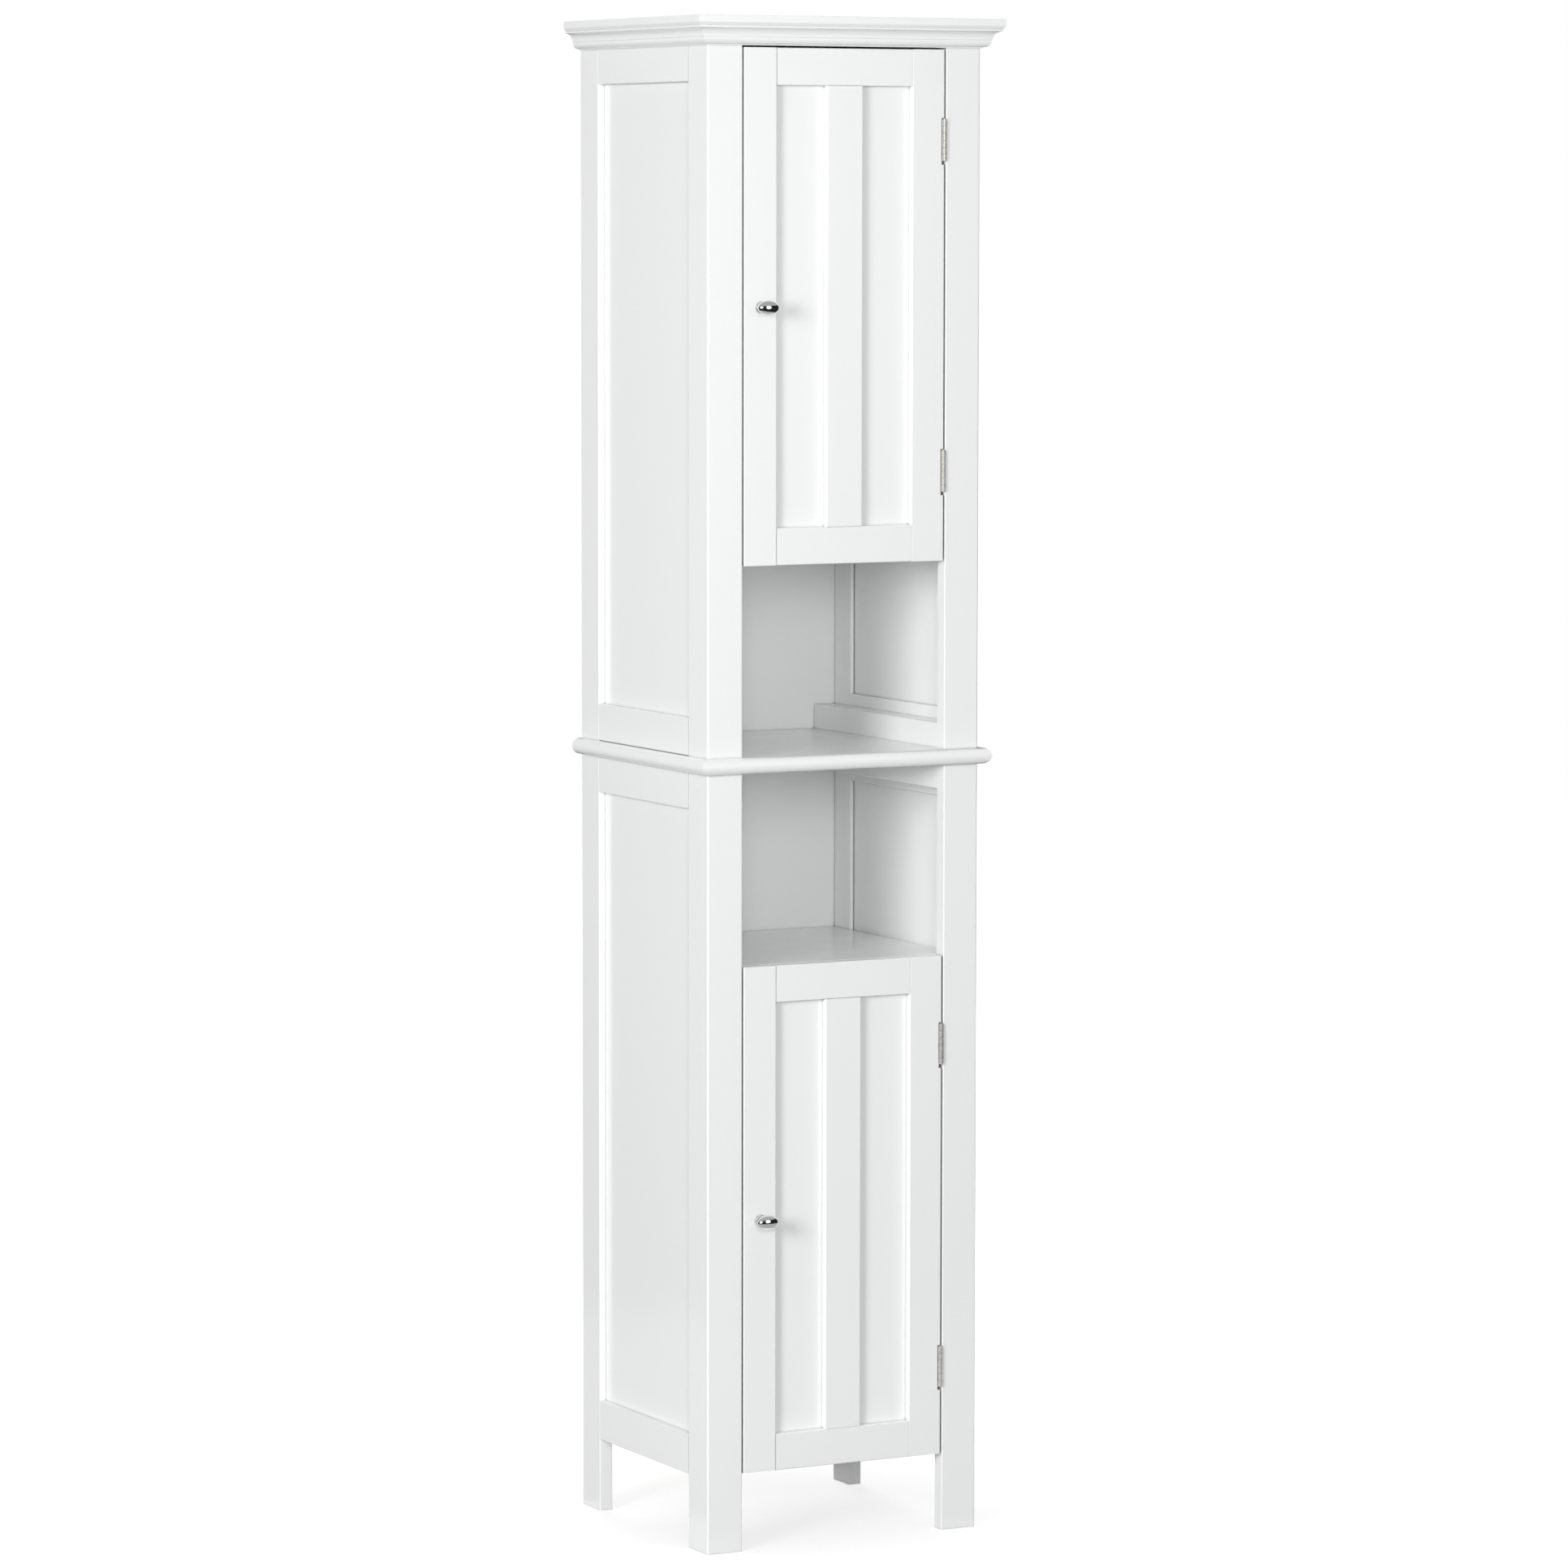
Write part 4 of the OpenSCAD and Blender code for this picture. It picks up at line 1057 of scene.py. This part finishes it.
def knob_mesh(name, settings, width, height, reach):
    """An oval head joined to a waisted neck and a round base, its axis along +Z."""
    base, neck = settings.base / 2, settings.neck / 2
    head_z = reach - settings.thickness / 2
    neck_top = head_z - settings.thickness / 4
    flare = (neck_top - settings.base_height) / 2
    lip = base - BASE_LIP
    outline = [(0, 0), (base, 0)]
    outline += arc((lip, settings.base_height - BASE_LIP), BASE_LIP, 0, 90, BASE_LIP_STEPS)
    waist = arc((neck + flare, settings.base_height + flare), flare, 270, 90, WAIST_STEPS)
    outline += [tuple(p) for p in waist if p.x < lip]
    outline += [(lip, neck_top), (0, neck_top)]
    stem = new_object(name + "_stem", turned_mesh(name, [tuple(p) for p in outline], settings.segments))
    rings = settings.segments // 2
    turns = [math.pi * i / rings for i in range(rings + 1)]
    oval = [(math.sin(t), -math.cos(t)) for t in turns]
    head = new_object(name, turned_mesh(name, oval, settings.segments))
    head.data.transform(Matrix.Diagonal((width / 2, height / 2, settings.thickness / 2, 1)))
    head.data.transform(Matrix.Translation((0, 0, head_z)))
    return united(name, head, stem)


class CABINET_OT_knobs(CabinetOperator, bpy.types.Operator):
    """Makes the two oval knobs"""

    bl_idname = "cabinet.knobs"
    bl_label = "Knobs"

    def execute(self, context):
        made = finishes()
        settings = context.scene.cabinet_knobs
        for unit in UNITS:
            low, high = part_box(f"{unit}_knob")
            size = high - low
            knob = knob_mesh(f"{unit}_oval_knob", settings, size.x, size.z, size.y)
            knob.data.transform(Matrix.Rotation(math.pi / 2, 4, "X"))
            knob.data.transform(Matrix.Translation(((low.x + high.x) / 2, high.y, (low.z + high.z) / 2)))
            knob.data.materials.clear()
            knob.data.materials.append(made["polished_chrome"])
            dress(knob, f"{unit}_door", "chrome_plate", f"{unit}_knob")
        return {"FINISHED"}


class CABINET_OT_hinges(CabinetOperator, bpy.types.Operator):
    """Finishes the hinge leaves, their pins and the screws that hold them"""

    bl_idname = "cabinet.hinges"
    bl_label = "Hinges"

    def execute(self, context):
        made = finishes()
        fixing = context.scene.cabinet_fixings
        metal = made["dull_nickel"]
        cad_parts["hinge_pins"].data.materials[0] = metal
        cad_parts["hinge_frame_leaves"].data.materials[0] = metal
        head = screw_head("hinge_screw_head", COUNTERSUNK, fixing.hinge_screw)
        frame_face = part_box("hinge_frame_leaves")[1].x - LEAF_THICKNESS + HAIR
        frame_places = []
        for unit in UNITS:
            node = f"{unit}_door_hinge_leaves"
            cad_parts[node].data.materials[0] = metal
            door_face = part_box(f"{unit}_door_hinge_stile")[1].x + LEAF_THICKNESS - HAIR
            places = []
            for middle in hinge_heights(unit):
                for i in (-1, 0, 1):
                    z = middle + i * HINGE_LENGTH / 3
                    places.append((Vector((door_face, FRONT + SCREW_SETBACK, z)), (1, 0, 0)))
                    frame_places.append((Vector((frame_face, FRONT + SCREW_SETBACK, z)), (-1, 0, 0)))
            put_heads(f"{unit}_door_hinge_screws", head, f"{unit}_door", "nickel_plate", metal, places)
        put_heads("frame_hinge_screws", head, CARCASS, "nickel_plate", metal, frame_places)
        discard(head)
        return {"FINISHED"}


class CABINET_OT_shelf_fittings(CabinetOperator, bpy.types.Operator):
    """Finishes the shelf pins and the cam locks and bolts"""

    bl_idname = "cabinet.shelf_fittings"
    bl_label = "Shelf Pins and Cams"

    def execute(self, context):
        made = finishes()
        wanted = {"shelf_pins": "dull_nickel", "cam_locks": "cast_zinc", "cam_bolts": "cast_zinc"}
        for node, finish in wanted.items():
            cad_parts[node].data.materials[0] = made[finish]
        return {"FINISHED"}


class CABINET_OT_catches(CabinetOperator, bpy.types.Operator):
    """Finishes the magnetic catches, their pole plates, strike plates and screws"""

    bl_idname = "cabinet.catches"
    bl_label = "Catches"

    def execute(self, context):
        made = finishes()
        fixing = context.scene.cabinet_fixings
        metal = made["dull_nickel"]
        arris = context.scene.cabinet_paint.arris
        housings = softened("door_catches", made["catch_plastic"], arris)
        dress(housings, CARCASS, "catch_plastic", "door_catches")
        head = screw_head("strike_head", COUNTERSUNK, fixing.strike_screw)
        for unit in UNITS:
            node = f"{unit}_strike_plate"
            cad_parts[node].data.materials[0] = metal
            plate_low, plate_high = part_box(node)
            middle = (plate_low + plate_high) / 2
            middle.y = plate_high.y + HAIR
            places = [(middle, (0, 1, 0))]
            put_heads(f"{unit}_strike_screw", head, f"{unit}_door", "nickel_plate", metal, places)
        discard(head)

        # The lower housing hangs below its board and the upper one stands on its own
        low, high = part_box("door_catches")
        tall = high.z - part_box("cupboard_floor")[1].z
        reach = (plate_high.x - plate_low.x) / 2 - POLE_MARGIN
        middle = (low + high) / 2
        plates, places = [], []
        for base, outer, way in ((low.z, low.z, -1), (high.z - tall, high.z, 1)):
            for z in (base + tall / 3, base + tall * 2 / 3):
                bm = bmesh.new()
                made_box = bmesh.ops.create_cube(bm, size=1.0)["verts"]
                size = Vector((2 * reach, *POLE_SECTION))
                for vert in made_box:
                    vert.co = Vector(c * s for c, s in zip(vert.co, size))
                    vert.co += Vector((middle.x, low.y + size.y / 2 + HAIR, z))
                bmesh.ops.bevel(bm, geom=bm.edges[:], offset=POLE_BEVEL, segments=1, affect="EDGES")
                plates.append(new_object("pole_plate", mesh_of("pole_plate", bm), metal))
            for side in (-1, 1):
                x = middle.x + side * (reach + (high.x - middle.x)) / 2
                places.append((Vector((x, middle.y, outer)), (0, 0, way)))
        dress(joined("catch_pole_plates", plates), CARCASS, "nickel_plate")
        pan = screw_head("catch_head", PAN, fixing.pan_screw)
        put_heads("catch_screws", pan, CARCASS, "nickel_plate", metal, places)
        discard(pan)
        return {"FINISHED"}


class CABINET_OT_screws(CabinetOperator, bpy.types.Operator):
    """Puts in the knob screws and the tacks of the back panels"""

    bl_idname = "cabinet.screws"
    bl_label = "Screws and Tacks"

    def execute(self, context):
        made = finishes()
        fixing = context.scene.cabinet_fixings
        metal = made["dull_nickel"]
        pan = screw_head("knob_screw_head", PAN, fixing.knob_screw)
        for unit in UNITS:
            knob_low, knob_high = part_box(f"{unit}_knob")
            door_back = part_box(f"{unit}_door_knob_stile")[1].y
            middle = (knob_low + knob_high) / 2
            places = [(Vector((middle.x, door_back, middle.z)), (0, 1, 0))]
            put_heads(f"{unit}_knob_screw", pan, f"{unit}_door", "nickel_plate", metal, places)

        outline = [(r * fixing.tack, z * fixing.tack) for r, z in TACK]
        tack = new_object("tack_head", turned_mesh("tack_head", outline, TACK_SEGMENTS))
        places = []
        for unit in UNITS:
            low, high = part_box(f"{unit}_back_panel")
            for z in spaced(low.z + TACK_END, high.z - TACK_END, fixing.tack_pitch):
                for x in (low.x + TACK_EDGE, high.x - TACK_EDGE):
                    places.append((Vector((x, high.y, z)), (0, 1, 0)))
        put_heads("back_panel_tacks", tack, CARCASS, "nickel_plate", metal, places)
        discard(pan, tack)
        return {"FINISHED"}


def aim(location, target):
    """A matrix at location whose -Z points at target."""
    way = (target - location).normalized()
    return Matrix.Translation(location) @ way.to_track_quat("-Z", "Y").to_matrix().to_4x4()


def seen_from(turn, rise, distance, target):
    """A place that far from the target: degrees to the right of the front, and degrees above level."""
    a, e = math.radians(turn), math.radians(rise)
    return target + distance * Vector((math.sin(a) * math.cos(e), -math.cos(a) * math.cos(e), math.sin(e)))


def softbox(name, power, *, turn, rise, distance, width, height, target):
    """An area lamp, which reflections don't see."""
    data = bpy.data.lights.new(name, "AREA")
    data.shape = "ELLIPSE"
    data.size, data.size_y = width, height
    data.energy = power
    lamp = bpy.data.objects.new(name, data)
    bpy.context.scene.collection.objects.link(lamp)
    lamp.visible_glossy = False
    lamp.matrix_world = aim(seen_from(turn, rise, distance, target), target)
    return lamp


def seen_rays(tree):
    """1 where a ray comes from the camera, a reflection or a transmission, else 0."""
    rays = add_node(tree, "ShaderNodeLightPath")
    seen = maths(tree, "MAXIMUM", rays.outputs["Is Camera Ray"], rays.outputs["Is Glossy Ray"])
    return maths(tree, "MAXIMUM", seen, rays.outputs["Is Transmission Ray"])


def studio_world(ambient):
    """White to the camera and to reflections; its light on the object has its own strength."""
    world = bpy.data.worlds.new("studio")
    bpy.context.scene.world = world
    world.use_nodes = True
    tree = world.node_tree
    tree.nodes.clear()
    lit = add_node(tree, "ShaderNodeBackground")
    lit.inputs["Strength"].default_value = ambient
    white = add_node(tree, "ShaderNodeBackground")
    mix = add_node(tree, "ShaderNodeMixShader")
    output = add_node(tree, "ShaderNodeOutputWorld")
    for background in (lit, white):
        background.inputs["Color"].default_value = (1, 1, 1, 1)
    tree.links.new(seen_rays(tree), mix.inputs[0])
    tree.links.new(lit.outputs[0], mix.inputs[1])
    tree.links.new(white.outputs[0], mix.inputs[2])
    tree.links.new(mix.outputs[0], output.inputs["Surface"])


# The floor's own light near the cabinet, and the distances from its middle between which it turns white
SHADE_GLOW = 0.72
SHADE_FROM, SHADE_TO = 0.2, 0.75


def floor_material(tone):
    """Pale floor that keeps the cabinet's shadow near it and turns to plain white further out."""
    material, tree, shader = new_material("studio_floor")
    shader.inputs["Base Color"].default_value = (tone, tone, tone, 1)
    shader.inputs["Roughness"].default_value = 0.9
    shader.inputs["Specular IOR Level"].default_value = 0.1
    output = next(n for n in tree.nodes if n.type == "OUTPUT_MATERIAL")
    coords = add_node(tree, "ShaderNodeTexCoord")
    distance = add_node(tree, "ShaderNodeVectorMath", operation="LENGTH")
    tree.links.new(coords.outputs["Object"], distance.inputs[0])
    away = spread(tree, distance.outputs["Value"], SHADE_GLOW, 1.0, SHADE_FROM, SHADE_TO)
    white = add_node(tree, "ShaderNodeEmission")
    tree.links.new(maths(tree, "MULTIPLY", away, seen_rays(tree)), white.inputs["Strength"])
    both = add_node(tree, "ShaderNodeAddShader")
    tree.links.new(shader.outputs["BSDF"], both.inputs[0])
    tree.links.new(white.outputs[0], both.inputs[1])
    tree.links.new(both.outputs[0], output.inputs["Surface"])
    return material


def glow_material(name, tone):
    """A plain grey light for what only reflections see."""
    material = bpy.data.materials.new(name)
    material.use_nodes = True
    tree = material.node_tree
    tree.nodes.clear()
    glow = add_node(tree, "ShaderNodeEmission")
    glow.inputs["Color"].default_value = (tone, tone, tone, 1)
    output = add_node(tree, "ShaderNodeOutputMaterial")
    tree.links.new(glow.outputs[0], output.inputs["Surface"])
    return material


FLOOR_RADIUS = 9.0
STAGE_SEGMENTS = 96
# Rings of the room that only reflections see, from the cabinet's foot outwards, up the wall and back over the
# ceiling: radius, height, and the tone from there to the next ring
FLAG_RINGS = (
    (0.25, 0.002, "near"), (1.5, 0.002, "dark"), (7.6, 0.002, "dark"), (7.6, 4.2, "ceiling"),
    (7.6, 6.6, "ceiling"), (0.01, 6.6, "ceiling"))


def studio_flags(**tone_of):
    """A grey floor near the cabinet, dark walls and a grey ceiling, that only reflections see."""
    rings = [(radius, height, tone_of[place]) for radius, height, place in FLAG_RINGS]
    bm = bmesh.new()
    made = [ring_of(bm, radius, height, STAGE_SEGMENTS) for radius, height, _ in rings]
    tones = sorted({tone for _, _, tone in rings})
    for (low, high), (_, _, tone) in zip(zip(made, made[1:]), rings):
        for i in range(STAGE_SEGMENTS):
            j = (i + 1) % STAGE_SEGMENTS
            face = bm.faces.new((low[i], low[j], high[j], high[i]))
            face.material_index = tones.index(tone)
    flags = new_object("studio_flags", mesh_of("studio_flags", bm))
    for i, tone in enumerate(tones):
        flags.data.materials.append(glow_material(f"flag_{i}", tone))
    return for_reflections(flags)


def for_reflections(piece):
    """Hides a piece of the stage from all but reflections."""
    for ray in ("camera", "diffuse", "transmission", "shadow", "volume_scatter"):
        setattr(piece, "visible_" + ray, False)
    return piece


def glow_oval(name, strength, *, turn, rise, distance, width, height, target):
    """A bright oval that stands for a lamp in reflections."""
    bm = bmesh.new()
    bmesh.ops.create_circle(bm, cap_ends=True, radius=0.5, segments=48)
    bmesh.ops.scale(bm, vec=(width, height, 1), verts=bm.verts)
    disc = new_object(name, mesh_of(name, bm), glow_material(name, strength))
    disc.matrix_world = aim(seen_from(turn, rise, distance, target), target)
    return for_reflections(disc)


class CABINET_OT_stage(CabinetOperator, bpy.types.Operator):
    """Sets the camera, the softboxes, the white world and the floor"""

    bl_idname = "cabinet.stage"
    bl_label = "Stage"

    def execute(self, context):
        scene = context.scene
        settings = scene.cabinet_stage
        yaw, pitch, roll = settings.yaw, settings.pitch, settings.roll
        ahead = Vector((math.sin(yaw), math.cos(yaw), 0))
        right = Vector((math.cos(yaw), -math.sin(yaw), 0))
        above = Vector((0, 0, 1))
        view = math.cos(pitch) * ahead - math.sin(pitch) * above
        up = math.cos(pitch) * above + math.sin(pitch) * ahead
        side = math.cos(roll) * right + math.sin(roll) * up
        up = math.cos(roll) * up - math.sin(roll) * right
        data = bpy.data.cameras.new("camera")
        data.lens, data.sensor_width = settings.lens, 36.0
        data.sensor_fit = "HORIZONTAL"
        data.clip_end = 100.0
        camera = bpy.data.objects.new("camera", data)
        scene.collection.objects.link(camera)
        turned = Matrix((side, up, -view)).transposed().to_4x4()
        camera.matrix_world = Matrix.Translation(Vector(settings.place)) @ turned
        scene.camera = camera

        middle = Vector((0, 0, settings.aim_height))
        far, rise = settings.distance, math.degrees(settings.rise)
        low_middle = Vector((0, 0, settings.key_height))
        softbox("left_softbox", settings.key, turn=-58.5, rise=rise, distance=far,
                width=2.0, height=2.3, target=low_middle)
        softbox("front_softbox", settings.fill, turn=-24, rise=rise / 2, distance=far,
                width=1.6, height=2.0, target=middle)
        softbox("top_softbox", settings.top, turn=0, rise=84, distance=3.2,
                width=2.0, height=2.0, target=middle)
        softbox("rear_softbox", settings.rear, turn=165, rise=25, distance=5.0,
                width=2.6, height=2.6, target=middle)
        studio_world(settings.ambient)
        scene.view_settings.view_transform = "Standard"

        bm = bmesh.new()
        bmesh.ops.create_circle(bm, cap_ends=True, radius=FLOOR_RADIUS, segments=STAGE_SEGMENTS)
        floor = new_object("studio_floor", mesh_of("studio_floor", bm), floor_material(settings.floor_tone))
        studio_flags(
            dark=settings.flag_tone, near=settings.flag_floor, ceiling=settings.flag_ceiling)
        for name, turn, width in (("left_glow", -41, 4.6), ("right_glow", 15, 2.8)):
            glow_oval(name, settings.glow, turn=turn, rise=rise / 2, distance=far,
                               width=width, height=3.8, target=middle)
        return {"FINISHED"}


OPERATORS = (
    CABINET_OT_side_frames, CABINET_OT_doors, CABINET_OT_boards, CABINET_OT_crown, CABINET_OT_mid_board,
    CABINET_OT_knobs, CABINET_OT_hinges, CABINET_OT_shelf_fittings, CABINET_OT_catches, CABINET_OT_screws,
    CABINET_OT_stage)


class CABINET_PT_panel(bpy.types.Panel):
    """Lists the cabinet's pieces and their settings"""

    bl_idname = "CABINET_PT_panel"
    bl_label = "Bathroom Cabinet"
    bl_space_type = "VIEW_3D"
    bl_region_type = "UI"
    bl_category = "Cabinet"

    def draw(self, context):
        layout = self.layout
        for operator in OPERATORS:
            layout.operator(operator.bl_idname)
        for name, group in SETTINGS.items():
            box = layout.box()
            box.label(text=group.__doc__)
            for setting in group.__annotations__:
                box.prop(getattr(context.scene, name), setting)


SETTINGS = {
    "cabinet_paint": PaintSettings, "cabinet_crown": CrownSettings, "cabinet_knobs": KnobSettings,
    "cabinet_fixings": FixingSettings, "cabinet_stage": StageSettings}


def register():
    for made in (*SETTINGS.values(), *OPERATORS, CABINET_PT_panel):
        bpy.utils.register_class(made)
    for name, group in SETTINGS.items():
        setattr(bpy.types.Scene, name, PointerProperty(type=group))


def unregister():
    for name in SETTINGS:
        delattr(bpy.types.Scene, name)
    for made in reversed((*SETTINGS.values(), *OPERATORS, CABINET_PT_panel)):
        bpy.utils.unregister_class(made)


def main():
    register()
    for operator in OPERATORS:
        group, name = operator.bl_idname.split(".")
        getattr(getattr(bpy.ops, group), name)()


if __name__ == "__main__":
    main()
